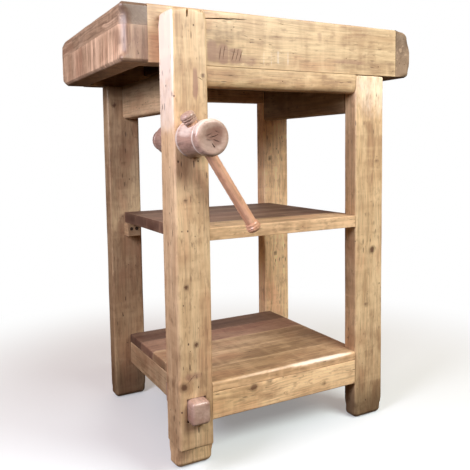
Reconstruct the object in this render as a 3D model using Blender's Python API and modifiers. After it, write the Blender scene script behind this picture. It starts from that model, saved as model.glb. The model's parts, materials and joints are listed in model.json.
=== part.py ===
"""A rustic kitchen island: a thick framed worktop on four plank legs, two shelves and a wooden leg vise.

Lengths are metres. Boards are placed in bench coordinates: x from the worktop's left end, y from the
worktop's front face towards the back, z from the floor. The frame's origin is on the floor, under the
middle of everything, screw head included.
"""

import math

import bmesh
import bpy
from mathutils import Matrix, Vector

# ---- driving dimensions -------------------------------------------------------------------------
GAP = 0.0003
WIDTH = 0.700
DEPTH = 0.470
HEIGHT = 0.900

TOP_THICK = 0.107
TOP_UNDER = HEIGHT - TOP_THICK
LEFT_END_WIDE = 0.052
RIGHT_END_WIDE = 0.044
LEFT_END_UPPER = 0.040
EDGE_BOARD = 0.050
PLANK_THICK = 0.045
PLANK_COUNT = 5
BATTEN_WIDE = 0.040
BATTEN_TALL = 0.034

LEG_WIDE = 0.081
LEG_THICK = 0.041
LEFT_LEG_X = 0.090
RIGHT_LEG_X = 0.539
REAR_LEG_Y = 0.396
INNER_LEFT = LEFT_LEG_X + LEG_WIDE
INNER_RIGHT = RIGHT_LEG_X

RAIL_THICK = 0.030
FRONT_RAIL_TALL = 0.042
REAR_APRON_TALL = 0.034
REAR_APRON_THICK = 0.028
REAR_TENON_SET_BACK = 0.011
SIDE_APRON_TALL = 0.082
APRON_THICK = 0.031
LEFT_APRON_X = 0.129
RIGHT_APRON_X = 0.539 + GAP

MID_TOP = 0.478
MID_THICK = 0.026
MID_LEFT = 0.127
MID_RIGHT = 0.554
CLEAT_WIDE = 0.034
LEFT_CLEAT_X = 0.1235
RIGHT_CLEAT_X = RIGHT_LEG_X + 0.002
CLEAT_DEEP = 0.030
CLEAT_TALL = 0.033

LOW_TOP = 0.163
LOW_BOARD_THICK = 0.021
LOW_RAIL_UNDER = 0.085
LOW_LEFT = 0.132
LOW_RIGHT = 0.554
SHELF_BOARDS = 5

TENON_LONG = 0.012
TENON_THICK = 0.012
TENON_SHOULDER = 0.006

CHOP_WIDE = 0.0705
CHOP_DEEP = 0.065
CHOP_FOOT = 0.070
CHOP_TOP = 0.883
VISE_X = 0.1063
SCREW_Z = 0.652
GUIDE_WIDE = 0.038
GUIDE_LOW = 0.125
GUIDE_HIGH = 0.170
GUIDE_NOSE = 0.023
GUIDE_TAIL = 0.046

HUB_LONG = 0.087
COLLAR_RADIUS = 0.034
COLLAR_RIM = 0.0115
NECK_RADIUS = 0.0238
DOME_SWELL = 1.2
DRUM_START = 0.066
DRUM_RADIUS = 0.032
DRUM_FACE_RADIUS = 0.0265
SPIGOT_RADIUS = 0.018
SPIGOT_LONG = 0.020
HANDLE_CROSS = 0.0375

SHANK_RADIUS = 0.0215
THREAD_ROOT = 0.0192
THREAD_CREST = 0.0220
THREAD_LEAD = 0.008
THREAD_START = 0.001
THREAD_END = 0.076
ROWS_PER_TURN = 5
SCREW_TIP = 0.090
TIP_ROUND = 0.018
NUT_RADIUS = 0.030
NUT_START = 0.010
RETAINER_RADIUS = 0.031
RETAINER_LONG = 0.008
COUNTERBORE_DEEP = 0.012

BAR_RADIUS = 0.0102
BAR_HOLE = 0.0108
KNOB_RADIUS = 0.0138
KNOB_WAIST = 0.0120
UPPER_KNOB_FROM = 0.0325
UPPER_KNOB_LONG = 0.0195
LOWER_KNOB_FROM = 0.184
LOWER_KNOB_LONG = 0.019
KNOB_SOCKET = 0.010
HANDLE_TILT = math.radians(32.7)

FRONT_REACH = CHOP_DEEP + HUB_LONG
FACE_Y = (FRONT_REACH - DEPTH) / 2

# Which way an edge of a box runs
Y_AXIS, Z_AXIS = 1, 2


# ---- scene, materials and placing ---------------------------------------------------------------
for old in list(bpy.data.objects):
    bpy.data.objects.remove(old)

parts = bpy.data.collections.new("kitchen_island")
cutters = bpy.data.collections.new("cutters")
bpy.context.scene.collection.children.link(parts)
bpy.context.scene.collection.children.link(cutters)


def at(x, y, z):
    """Bench coordinates to the frame."""
    return Vector((x - WIDTH / 2, y + FACE_Y, z))


def waxed_wood(name, tone, warmth):
    """A waxed timber: tone brightens it, warmth shifts it from honey to pinkish brown."""
    material = bpy.data.materials.new(name)
    material.use_nodes = True
    shader = material.node_tree.nodes["Principled BSDF"]
    colour = (0.56 * tone, (0.36 - 0.05 * warmth) * tone, (0.19 + 0.03 * warmth) * tone, 1.0)
    shader.inputs["Base Color"].default_value = colour
    shader.inputs["Roughness"].default_value = 0.48
    shader.inputs["Metallic"].default_value = 0.0
    return material


def dark_steel(name):
    material = bpy.data.materials.new(name)
    material.use_nodes = True
    shader = material.node_tree.nodes["Principled BSDF"]
    shader.inputs["Base Color"].default_value = (0.09, 0.075, 0.06, 1.0)
    shader.inputs["Roughness"].default_value = 0.55
    shader.inputs["Metallic"].default_value = 0.8
    return material


def add_object(name, mesh, location, material):
    item = bpy.data.objects.new(name, mesh)
    parts.objects.link(item)
    item.location = location
    mesh.materials.append(material)
    return item


def add_cutter(name, mesh, location):
    item = bpy.data.objects.new(name, mesh)
    cutters.objects.link(item)
    item.location = location
    item.hide_render = True
    item.display_type = "WIRE"
    return item


def cube_mesh(name, size, radius_of=None, widest=0.0):
    """A box of that size around its own middle. radius_of gives each edge its rounding."""
    bm = bmesh.new()
    bmesh.ops.create_cube(bm, size=1.0)
    if radius_of:
        weights = bm.edges.layers.float.new("bevel_weight_edge")
        for edge in bm.edges:
            middle = (edge.verts[0].co + edge.verts[1].co) / 2
            axis = max(range(3), key=lambda i: abs(edge.verts[0].co[i] - edge.verts[1].co[i]))
            edge[weights] = radius_of(middle, axis) / widest
    bmesh.ops.scale(bm, vec=size, verts=bm.verts)
    mesh = bpy.data.meshes.new(name)
    bm.to_mesh(mesh)
    bm.free()
    return mesh


def board(name, x, y, z, tone=1.0, warmth=0.0, radius=0.003, radius_of=None, segments=2):
    """A board between two values of x, y and z, with its edges rounded."""
    low = at(x[0], y[0], z[0])
    high = at(x[1], y[1], z[1])
    widest = radius if radius_of is None else 0.03
    mesh = cube_mesh(name, high - low, radius_of or (lambda middle, axis: radius), widest)
    item = add_object(name, mesh, (low + high) / 2, waxed_wood(name, tone, warmth))
    bevel = item.modifiers.new("worn_edges", "BEVEL")
    bevel.width = widest
    bevel.segments = segments
    bevel.limit_method = "WEIGHT"
    return item


def block_cutter(name, x, y, z):
    low = at(x[0], y[0], z[0])
    high = at(x[1], y[1], z[1])
    return add_cutter(name, cube_mesh(name, high - low), (low + high) / 2)


def round_cutter(name, x, y, z, radius, sides=36):
    """A cylinder along y between two values of y."""
    bm = bmesh.new()
    turn = Matrix.Rotation(math.pi / 2, 4, "X")
    bmesh.ops.create_cone(
        bm, cap_ends=True, segments=sides, radius1=radius, radius2=radius, depth=y[1] - y[0], matrix=turn
    )
    mesh = bpy.data.meshes.new(name)
    bm.to_mesh(mesh)
    bm.free()
    return add_cutter(name, mesh, at(x, (y[0] + y[1]) / 2, z))


def boolean(item, cutter, operation):
    modifier = item.modifiers.new(cutter.name, "BOOLEAN")
    modifier.operation = operation
    modifier.solver = "EXACT"
    modifier.object = cutter


def turned(name, profile, location, rotation, material, sides=36):
    """A turned piece: (radius, height) points run down its outer side, spun about its own z axis."""
    mesh = bpy.data.meshes.new(name)
    points = [(radius, 0.0, height) for radius, height in profile]
    edges = [(i, i + 1) for i in range(len(points) - 1)]
    mesh.from_pydata(points, edges, [])
    item = add_object(name, mesh, location, material)
    item.rotation_euler = rotation
    spin = item.modifiers.new("turned", "SCREW")
    spin.steps = sides
    spin.render_steps = sides
    spin.use_merge_vertices = True
    spin.merge_threshold = 0.00002
    spin.use_smooth_shade = True
    return item


def arc(centre, radii, start, end, steps):
    """Points (radius, height) on an ellipse's arc, angles in degrees from the radial direction."""
    points = []
    for i in range(steps + 1):
        angle = math.radians(start + (end - start) * i / steps)
        points.append((centre[0] + radii[0] * math.cos(angle), centre[1] + radii[1] * math.sin(angle)))
    return points


# ---- joints -------------------------------------------------------------------------------------
def widened(span, play):
    return (span[0] - play, span[1] + play)


def tenon(rail, leg, x, y, z):
    """A tenon fixed to the rail, and the mortise for it in the leg."""
    tongue = block_cutter(rail.name + "_in_" + leg.name, x, y, z)
    boolean(rail, tongue, "UNION")
    mouth = block_cutter(
        leg.name + "_for_" + rail.name, widened(x, GAP), widened(y, GAP), widened(z, GAP)
    )
    boolean(leg, mouth, "DIFFERENCE")


def rail_along_x(rail, legs, y, z):
    """Tenons at both ends of a rail between two legs' inner edges."""
    middle = (y[0] + y[1]) / 2
    across = (middle - TENON_THICK / 2, middle + TENON_THICK / 2)
    tall = (z[0] + TENON_SHOULDER, z[1] - TENON_SHOULDER)
    tenon(rail, legs[0], (INNER_LEFT - TENON_LONG, INNER_LEFT + TENON_LONG), across, tall)
    tenon(rail, legs[1], (INNER_RIGHT - TENON_LONG, INNER_RIGHT + TENON_LONG), across, tall)


def rail_along_y(rail, legs, x, z):
    """Tenons at both ends of a rail between a front leg's back and a rear leg's front."""
    middle = (x[0] + x[1]) / 2
    across = (middle - TENON_THICK / 2, middle + TENON_THICK / 2)
    tall = (z[0] + TENON_SHOULDER, z[1] - TENON_SHOULDER)
    tenon(rail, legs[0], across, (LEG_THICK - TENON_LONG, LEG_THICK + TENON_LONG), tall)
    tenon(rail, legs[1], across, (REAR_LEG_Y - TENON_LONG, REAR_LEG_Y + TENON_LONG), tall)


# ---- stand --------------------------------------------------------------------------------------
def foot_rounding(middle, axis):
    """A leg's edges: its foot is worn round, its long edges are eased, its top is left nearly square."""
    if middle.z < -0.4:
        return 0.009
    if middle.z > 0.4:
        return 0.002
    return 0.0035


def make_leg(name, x, y, tone, warmth):
    return board(
        name, (x, x + LEG_WIDE), (y, y + LEG_THICK), (0.0, TOP_UNDER - GAP), tone, warmth,
        radius_of=foot_rounding, segments=2
    )


leg_front_left = make_leg("leg_front_left", LEFT_LEG_X, 0.0, 0.98, 0.3)
leg_front_right = make_leg("leg_front_right", RIGHT_LEG_X, 0.0, 1.06, 0.1)
leg_rear_left = make_leg("leg_rear_left", LEFT_LEG_X, REAR_LEG_Y, 0.90, 0.5)
leg_rear_right = make_leg("leg_rear_right", RIGHT_LEG_X, REAR_LEG_Y, 0.96, 0.4)
front_legs = (leg_front_left, leg_front_right)
rear_legs = (leg_rear_left, leg_rear_right)
left_legs = (leg_front_left, leg_rear_left)
right_legs = (leg_front_right, leg_rear_right)

between_legs = (INNER_LEFT + GAP, INNER_RIGHT - GAP)
behind_legs = (LEG_THICK + GAP, REAR_LEG_Y - GAP)

front_rail_z = (TOP_UNDER - FRONT_RAIL_TALL, TOP_UNDER - GAP)
front_top_rail = board("front_top_rail", between_legs, (0.0, RAIL_THICK), front_rail_z, 1.08, 0.1)
rail_along_x(front_top_rail, front_legs, (0.0, RAIL_THICK - 0.006), front_rail_z)

rear_apron_y = (REAR_LEG_Y, REAR_LEG_Y + REAR_APRON_THICK)
rear_apron_z = (TOP_UNDER - REAR_APRON_TALL, TOP_UNDER - GAP)
rear_apron = board("rear_apron", between_legs, rear_apron_y, rear_apron_z, 0.80, 0.5)
rear_tenon_y = (rear_apron_y[0] + REAR_TENON_SET_BACK, rear_apron_y[1])
rail_along_x(rear_apron, rear_legs, rear_tenon_y, rear_apron_z)

side_apron_z = (TOP_UNDER - SIDE_APRON_TALL, TOP_UNDER - GAP)
left_apron_x = (LEFT_APRON_X, LEFT_APRON_X + APRON_THICK)
left_apron = board("left_apron", left_apron_x, behind_legs, side_apron_z, 0.86, 0.7)
rail_along_y(left_apron, left_legs, left_apron_x, side_apron_z)

right_apron_x = (RIGHT_APRON_X, RIGHT_APRON_X + APRON_THICK)
right_apron = board("right_apron", right_apron_x, behind_legs, side_apron_z, 0.80, 0.6)
rail_along_y(right_apron, right_legs, right_apron_x, side_apron_z)


# ---- worktop ------------------------------------------------------------------------------------
def left_end_rounding(upper):
    """The left end's edges: its upright corners are bevelled, and the face that meets the other layer is square."""

    def radius_of(middle, axis):
        touching = middle.z < -0.4 if upper else middle.z > 0.4
        outer = middle.x < -0.4
        if axis == Z_AXIS:
            return 0.009 if outer else 0.0012
        if touching:
            return 0.0008
        return 0.004 if outer and axis == Y_AXIS else 0.0025

    return radius_of


def right_end_rounding(middle, axis):
    """The right end's edges: its long outer edges are worn round, the rest is eased."""
    if axis == Y_AXIS and middle.x > 0.4:
        return 0.016 if middle.z > 0 else 0.010
    return 0.002


layer_z = HEIGHT - LEFT_END_UPPER
board(
    "top_left_end_lower", (0.0, LEFT_END_WIDE), (0.0, DEPTH), (TOP_UNDER, layer_z - GAP), 0.95, 0.6,
    radius_of=left_end_rounding(False), segments=3
)
board(
    "top_left_end_upper", (0.0, LEFT_END_WIDE), (0.0, DEPTH), (layer_z, HEIGHT), 0.82, 0.8,
    radius_of=left_end_rounding(True), segments=3
)
right_end_x = WIDTH - RIGHT_END_WIDE
board(
    "top_right_end", (right_end_x, WIDTH), (0.0, DEPTH), (TOP_UNDER, HEIGHT), 0.78, 0.6,
    radius_of=right_end_rounding, segments=3
)
inside_x = (LEFT_END_WIDE + GAP, right_end_x - GAP)
board("top_front_board", inside_x, (0.0, EDGE_BOARD), (TOP_UNDER, HEIGHT), 1.08, 0.1, radius=0.004)
board("top_rear_board", inside_x, (DEPTH - EDGE_BOARD, DEPTH), (TOP_UNDER, HEIGHT), 1.0, 0.2, radius=0.004)

plank_room = DEPTH - 2 * EDGE_BOARD
plank_pitch = plank_room / PLANK_COUNT
for index in range(PLANK_COUNT):
    start = EDGE_BOARD + index * plank_pitch
    tone = 1.02 + 0.04 * math.sin(2.1 * index)
    board(
        f"top_plank_{index + 1}", inside_x, widened((start, start + plank_pitch), -GAP / 2 - 0.00005),
        (HEIGHT - PLANK_THICK, HEIGHT), tone, 0.15, radius=0.002
    )
batten_z = (HEIGHT - PLANK_THICK - GAP - BATTEN_TALL, HEIGHT - PLANK_THICK - GAP)
for name, middle_x in (("top_batten_left", 0.215), ("top_batten_right", 0.485)):
    board(
        name, (middle_x - BATTEN_WIDE / 2, middle_x + BATTEN_WIDE / 2),
        (EDGE_BOARD + GAP, DEPTH - EDGE_BOARD - GAP), batten_z, 0.80, 0.4, segments=1
    )


# ---- shelves ------------------------------------------------------------------------------------
def shelf_boards(prefix, x, z, tones):
    """Boards side by side from the front to the rear legs. The first is notched around the front legs."""
    pitch = REAR_LEG_Y / SHELF_BOARDS
    for index in range(SHELF_BOARDS):
        first = index * pitch + (GAP if index else 0.0)
        last = (index + 1) * pitch - (GAP if index == SHELF_BOARDS - 1 else 0.0)
        y = (first, last)
        name = f"{prefix}_{index + 1}"
        item = board(name, x, y, z, tones[index], 0.35, radius=0.002)
        if index == 0:
            notch_y = (-0.02, LEG_THICK + GAP)
            notch_z = (z[0] - 0.02, z[1] + 0.02)
            left = block_cutter(name + "_left_notch", (x[0] - 0.02, INNER_LEFT + GAP), notch_y, notch_z)
            right = block_cutter(name + "_right_notch", (INNER_RIGHT - GAP, x[1] + 0.02), notch_y, notch_z)
            boolean(item, left, "DIFFERENCE")
            boolean(item, right, "DIFFERENCE")


mid_z = (MID_TOP - MID_THICK, MID_TOP)
shelf_boards("mid_shelf_board", (MID_LEFT, MID_RIGHT), mid_z, (1.06, 0.92, 0.88, 0.84, 0.78))
low_boards_z = (LOW_TOP - LOW_BOARD_THICK, LOW_TOP)
shelf_boards("lower_shelf_board", (LOW_LEFT, LOW_RIGHT), low_boards_z, (1.05, 0.94, 0.90, 0.84, 0.76))

low_rail_z = (LOW_RAIL_UNDER, LOW_TOP - LOW_BOARD_THICK - GAP)
lower_front_rail = board("lower_front_rail", between_legs, (0.0, RAIL_THICK), low_rail_z, 1.02, 0.15)
rail_along_x(lower_front_rail, front_legs, (0.0, RAIL_THICK - 0.006), low_rail_z)
lower_left_x = (LOW_LEFT, LOW_LEFT + RAIL_THICK)
lower_left_rail = board("lower_left_rail", lower_left_x, behind_legs, low_rail_z, 0.84, 0.6)
rail_along_y(lower_left_rail, left_legs, lower_left_x, low_rail_z)
lower_right_x = (LOW_RIGHT - RAIL_THICK, LOW_RIGHT)
lower_right_rail = board("lower_right_rail", lower_right_x, behind_legs, low_rail_z, 0.84, 0.6)
rail_along_y(lower_right_rail, right_legs, (RIGHT_LEG_X - 0.0105, RIGHT_LEG_X + 0.0255), low_rail_z)
lower_rear_rail = board(
    "lower_rear_rail", (lower_left_x[1] + GAP, lower_right_x[0] - GAP),
    (REAR_LEG_Y - RAIL_THICK, REAR_LEG_Y - GAP), low_rail_z, 0.80, 0.4
)

cleat_y = (REAR_LEG_Y - GAP - CLEAT_DEEP, REAR_LEG_Y - GAP)
cleat_z = (mid_z[0] - GAP - CLEAT_TALL, mid_z[0] - GAP)
cleat_places = (
    ("shelf_cleat_left", LEFT_CLEAT_X, leg_rear_left),
    ("shelf_cleat_right", RIGHT_CLEAT_X, leg_rear_right),
)
SCREW_HEAD = 0.0042
SCREW_SHANK = 0.0022
SCREW_LONG = 0.048
SCREW_SPACING = 0.013
SCREW_BELOW_SHELF = 0.0138


def wood_screw_profile(head, shank, length):
    """A countersunk screw along z, its head at the top."""
    point = (0.0, -length)
    return [(0.0, 0.0), (head, 0.0), (head, -0.0008), (shank, -0.0038), (shank, 0.004 - length), point]


facing_front = (math.pi / 2, 0.0, 0.0)
screw_count = 0
for name, cleat_x, leg in cleat_places:
    cleat = board(name, (cleat_x, cleat_x + CLEAT_WIDE), cleat_y, cleat_z, 0.98, 0.4, radius=0.003)
    screw_z = cleat_z[1] - SCREW_BELOW_SHELF
    for offset in (-SCREW_SPACING / 2, SCREW_SPACING / 2):
        screw_count += 1
        screw_name = f"cleat_screw_{screw_count}"
        screw_x = cleat_x + CLEAT_WIDE / 2 + offset
        turned(
            screw_name, wood_screw_profile(SCREW_HEAD, SCREW_SHANK, SCREW_LONG),
            at(screw_x, cleat_y[0] + GAP, screw_z), facing_front, dark_steel(screw_name), 14
        )
        hole_y = (cleat_y[0] - 0.01, cleat_y[0] + SCREW_LONG + 0.001)
        pilot = round_cutter(f"{screw_name}_pilot", screw_x, hole_y, screw_z, SCREW_SHANK + GAP, 14)
        sink_y = (cleat_y[0] - 0.01, cleat_y[0] + 0.0048)
        sink = round_cutter(f"{screw_name}_sink", screw_x, sink_y, screw_z, SCREW_HEAD + GAP, 14)
        boolean(cleat, pilot, "DIFFERENCE")
        boolean(cleat, sink, "DIFFERENCE")
        boolean(leg, pilot, "DIFFERENCE")


# ---- vise: chop and guide -----------------------------------------------------------------------
def chop_rounding(middle, axis):
    if axis == Y_AXIS and middle.z > 0:
        return 0.008
    return 0.004


chop_x = (VISE_X - CHOP_WIDE / 2, VISE_X + CHOP_WIDE / 2)
vise_chop = board(
    "vise_chop", chop_x, (-CHOP_DEEP, -GAP), (CHOP_FOOT, CHOP_TOP), 1.04, 0.2,
    radius_of=chop_rounding, segments=3
)
chop_bore = round_cutter("chop_bore", VISE_X, (-CHOP_DEEP - 0.01, 0.01), SCREW_Z, SHANK_RADIUS + 0.0006)
ring_seat = round_cutter("ring_seat", VISE_X, (-COUNTERBORE_DEEP, 0.01), SCREW_Z, RETAINER_RADIUS + 0.0015)
boolean(vise_chop, chop_bore, "DIFFERENCE")
boolean(vise_chop, ring_seat, "DIFFERENCE")
guide_x = (VISE_X - GUIDE_WIDE / 2, VISE_X + GUIDE_WIDE / 2)


def guide_hole(name, play, y):
    return block_cutter(
        name, (guide_x[0] - play, guide_x[1] + play), y, (GUIDE_LOW - play, GUIDE_HIGH + play)
    )


boolean(vise_chop, guide_hole("chop_mortise", GAP, (-CHOP_DEEP - 0.01, 0.01)), "DIFFERENCE")
boolean(leg_front_left, guide_hole("leg_mortise", 0.0006, (-0.01, LEG_THICK + 0.01)), "DIFFERENCE")


def guide_rounding(middle, axis):
    """The guide's front end is worn round where it stands out of the chop."""
    return 0.009 if middle.y < -0.4 else 0.0008


board(
    "vise_guide", guide_x, (-CHOP_DEEP - GUIDE_NOSE, GUIDE_TAIL), (GUIDE_LOW, GUIDE_HIGH), 0.92, 0.6,
    radius_of=guide_rounding, segments=3
)

# ---- vise: nut in the leg, screw, hub and retainer ----------------------------------------------
leg_bore = round_cutter("leg_bore", VISE_X, (-0.01, 0.03), SCREW_Z, SHANK_RADIUS + 0.0015)
nut_seat = round_cutter("nut_seat", VISE_X, (NUT_START, LEG_THICK + 0.01), SCREW_Z, NUT_RADIUS + GAP)
boolean(leg_front_left, leg_bore, "DIFFERENCE")
boolean(leg_front_left, nut_seat, "DIFFERENCE")

nut_long = LEG_THICK - NUT_START - 2 * GAP
nut_bore = THREAD_CREST + 0.0004
nut_profile = [
    (nut_bore, nut_long), (NUT_RADIUS, nut_long), (NUT_RADIUS, 0.0), (nut_bore, 0.0), (nut_bore, nut_long)
]
nut_wood = waxed_wood("screw_nut", 0.8, 0.5)
turned("screw_nut", nut_profile, at(VISE_X, LEG_THICK - GAP, SCREW_Z), facing_front, nut_wood)



def dome_profile(steps):
    """The hub's swelling side, from the neck behind the drum down to the collar's rim."""
    points = []
    for i in range(steps):
        along = 1 - i / steps
        swell = (1 - along ** DOME_SWELL) ** (1 / DOME_SWELL)
        height = COLLAR_RIM + (DRUM_START - 0.002 - COLLAR_RIM) * along
        points.append((NECK_RADIUS + (COLLAR_RADIUS - NECK_RADIUS) * swell, height))
    return points


screw_origin = at(VISE_X, -CHOP_DEEP, SCREW_Z)
drum_middle = (DRUM_RADIUS - 0.0105, HUB_LONG - 0.0105)
hub_profile = [(0.0, HUB_LONG), (DRUM_FACE_RADIUS - 0.005, HUB_LONG)]
hub_profile += arc(drum_middle, (0.0105, 0.0105), 75, 0, 5)
hub_profile += [(DRUM_RADIUS, DRUM_START + 0.0045), (DRUM_RADIUS - 0.0013, DRUM_START + 0.0038)]
hub_profile += arc((DRUM_RADIUS - 0.0024, DRUM_START + 0.0018), (0.0018, 0.0018), 60, -80, 3)
hub_profile += [(NECK_RADIUS, DRUM_START - 0.0006)]
hub_profile += dome_profile(9)
hub_profile += [(COLLAR_RADIUS, COLLAR_RIM - 0.0015), (COLLAR_RADIUS - 0.001, COLLAR_RIM - 0.0022)]
hub_profile += [(COLLAR_RADIUS, COLLAR_RIM - 0.003), (COLLAR_RADIUS, 0.003), (COLLAR_RADIUS - 0.002, 0.0005)]
hub_socket = (SPIGOT_RADIUS + GAP, SPIGOT_LONG + GAP)
hub_profile += [(hub_socket[0], 0.0005), hub_socket, (0.0, hub_socket[1])]
vise_hub = turned("vise_hub", hub_profile, screw_origin, facing_front, waxed_wood("vise_hub", 0.88, 0.7), 36)

handle_origin = at(VISE_X, -CHOP_DEEP - HANDLE_CROSS, SCREW_Z)
along_handle = (0.0, -HANDLE_TILT, 0.0)
hole_bm = bmesh.new()
bmesh.ops.create_cone(hole_bm, cap_ends=True, segments=32, radius1=BAR_HOLE, radius2=BAR_HOLE, depth=0.10)
hole_mesh = bpy.data.meshes.new("handle_hole")
hole_bm.to_mesh(hole_mesh)
hole_bm.free()
handle_hole = add_cutter("handle_hole", hole_mesh, handle_origin)
handle_hole.rotation_euler = along_handle
boolean(vise_hub, handle_hole, "DIFFERENCE")


def smooth_step(value):
    value = min(1.0, max(0.0, value))
    return value * value * (3 - 2 * value)


def screw_rings():
    """(height, radius, thread depth) down the screw. Height is forward of the chop's front face."""
    rings = [(SPIGOT_LONG, SPIGOT_RADIUS - 0.001, 0.0), (SPIGOT_LONG - 0.001, SPIGOT_RADIUS, 0.0)]
    rings += [(0.0, SPIGOT_RADIUS, 0.0), (-0.0004, SHANK_RADIUS, 0.0)]
    first = -CHOP_DEEP - THREAD_START
    last = -CHOP_DEEP - THREAD_END
    rows = round((first - last) / THREAD_LEAD * ROWS_PER_TURN)
    rings.append((first + 0.0005, SHANK_RADIUS, 0.0))
    for row in range(rows + 1):
        height = first + (last - first) * row / rows
        fade = smooth_step((first - height) / THREAD_LEAD) * smooth_step((height - last) / THREAD_LEAD)
        rings.append((height, SHANK_RADIUS, fade))
    tip = -CHOP_DEEP - SCREW_TIP
    for radius, height in arc((SHANK_RADIUS - TIP_ROUND, tip + TIP_ROUND), (TIP_ROUND, -TIP_ROUND), 0, 90, 7):
        rings.append((height, radius, 0.0))
    return rings


def thread_radius(height, angle, plain, fade):
    """A right-hand thread about the forward axis, easing into the plain shank at both ends."""
    phase = height / THREAD_LEAD - angle / (2 * math.pi)
    wave = 0.5 + 0.5 * math.cos(2 * math.pi * phase)
    cut = THREAD_ROOT + (THREAD_CREST - THREAD_ROOT) * min(1.0, 1.25 * wave)
    return plain + (cut - plain) * fade


def screw_mesh_of(sides=22):
    bm = bmesh.new()
    loops = []
    for height, radius, fade in screw_rings():
        loop = []
        for side in range(sides):
            angle = 2 * math.pi * side / sides
            reach = thread_radius(height, angle, radius, fade)
            loop.append(bm.verts.new((reach * math.cos(angle), reach * math.sin(angle), height)))
        loops.append(loop)
    for upper, lower in zip(loops, loops[1:]):
        for side in range(sides):
            after = (side + 1) % sides
            bm.faces.new((upper[side], lower[side], lower[after], upper[after]))
    bm.faces.new(loops[0])
    bm.faces.new(list(reversed(loops[-1])))
    bmesh.ops.recalc_face_normals(bm, faces=bm.faces)
    mesh = bpy.data.meshes.new("vise_screw")
    bm.to_mesh(mesh)
    bm.free()
    mesh.shade_smooth()
    mesh.set_sharp_from_angle(angle=math.radians(35))
    return mesh


vise_screw = add_object("vise_screw", screw_mesh_of(), screw_origin, waxed_wood("vise_screw", 0.9, 0.7))
vise_screw.rotation_euler = facing_front

ring_bore = SHANK_RADIUS + GAP
retainer_front = COUNTERBORE_DEEP - GAP
retainer_profile = [
    (ring_bore, 0.0), (RETAINER_RADIUS, 0.0), (RETAINER_RADIUS, -RETAINER_LONG), (ring_bore, -RETAINER_LONG),
    (ring_bore, 0.0)
]
turned(
    "screw_retainer", retainer_profile, at(VISE_X, -retainer_front, SCREW_Z), facing_front,
    waxed_wood("screw_retainer", 0.8, 0.4)
)

# ---- vise: handle -------------------------------------------------------------------------------
bar_low = -LOWER_KNOB_FROM - KNOB_SOCKET + GAP
bar_high = UPPER_KNOB_FROM + KNOB_SOCKET - GAP
bar_profile = [
    (0.0, bar_high), (BAR_RADIUS - 0.001, bar_high), (BAR_RADIUS, bar_high - 0.001),
    (BAR_RADIUS, bar_low + 0.001), (BAR_RADIUS - 0.001, bar_low), (0.0, bar_low)
]
turned("vise_handle", bar_profile, handle_origin, along_handle, waxed_wood("vise_handle", 1.04, 0.6), 24)


def knob_profile(inner, length, way):
    """A knob from its inner face outwards along way, 1 up or -1 down, with a socket and two cut rings."""
    bore = BAR_RADIUS + GAP
    bead = length / 4
    points = [(0.0, KNOB_SOCKET), (bore, KNOB_SOCKET), (bore, 0.0), (KNOB_WAIST, 0.0)]
    for ring in (1, 2):
        rise = KNOB_RADIUS if ring > 1 else KNOB_RADIUS - 0.0006
        points += [(rise, ring * bead - 0.0022), (rise, ring * bead - 0.0006)]
        points += [(KNOB_RADIUS - 0.0010, ring * bead)]
    points += [(KNOB_RADIUS, 2 * bead + 0.0008)]
    points += arc((KNOB_RADIUS - 0.009, length - 0.009), (0.009, 0.009), 0, 70, 4)
    points += [(0.0, length)]
    placed = [(radius, inner + way * height) for radius, height in points]
    return placed if way < 0 else list(reversed(placed))


turned(
    "handle_knob_upper", knob_profile(UPPER_KNOB_FROM, UPPER_KNOB_LONG, 1), handle_origin, along_handle,
    waxed_wood("handle_knob_upper", 0.95, 0.8), 24
)
turned(
    "handle_knob_lower", knob_profile(-LOWER_KNOB_FROM, LOWER_KNOB_LONG, -1), handle_origin, along_handle,
    waxed_wood("handle_knob_lower", 0.90, 0.8), 24
)

for item in parts.objects:
    if any(modifier.type == "SCREW" for modifier in item.modifiers):
        continue
    item.data.shade_smooth()
    item.data.set_sharp_from_angle(angle=math.radians(35))
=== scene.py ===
"""Looks for the kitchen island: worn, waxed pine timbers, turned vise parts, steel screws and a soft studio.

Lengths are metres in the CAD model's frame: +Z is up, the front faces -Y, the vise is on the left (-X).
Every timber is a new mesh made from its CAD node's box, with rounded, uneven edges and a slightly wavy
surface. The wood's pattern is solid: it is read from a grain position stored on the mesh, so it turns
round corners, shows rings on the ends and bends round the knots.
"""

import json
import math

import bmesh
import bpy
import numpy as np
from mathutils import Matrix, Vector


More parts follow.
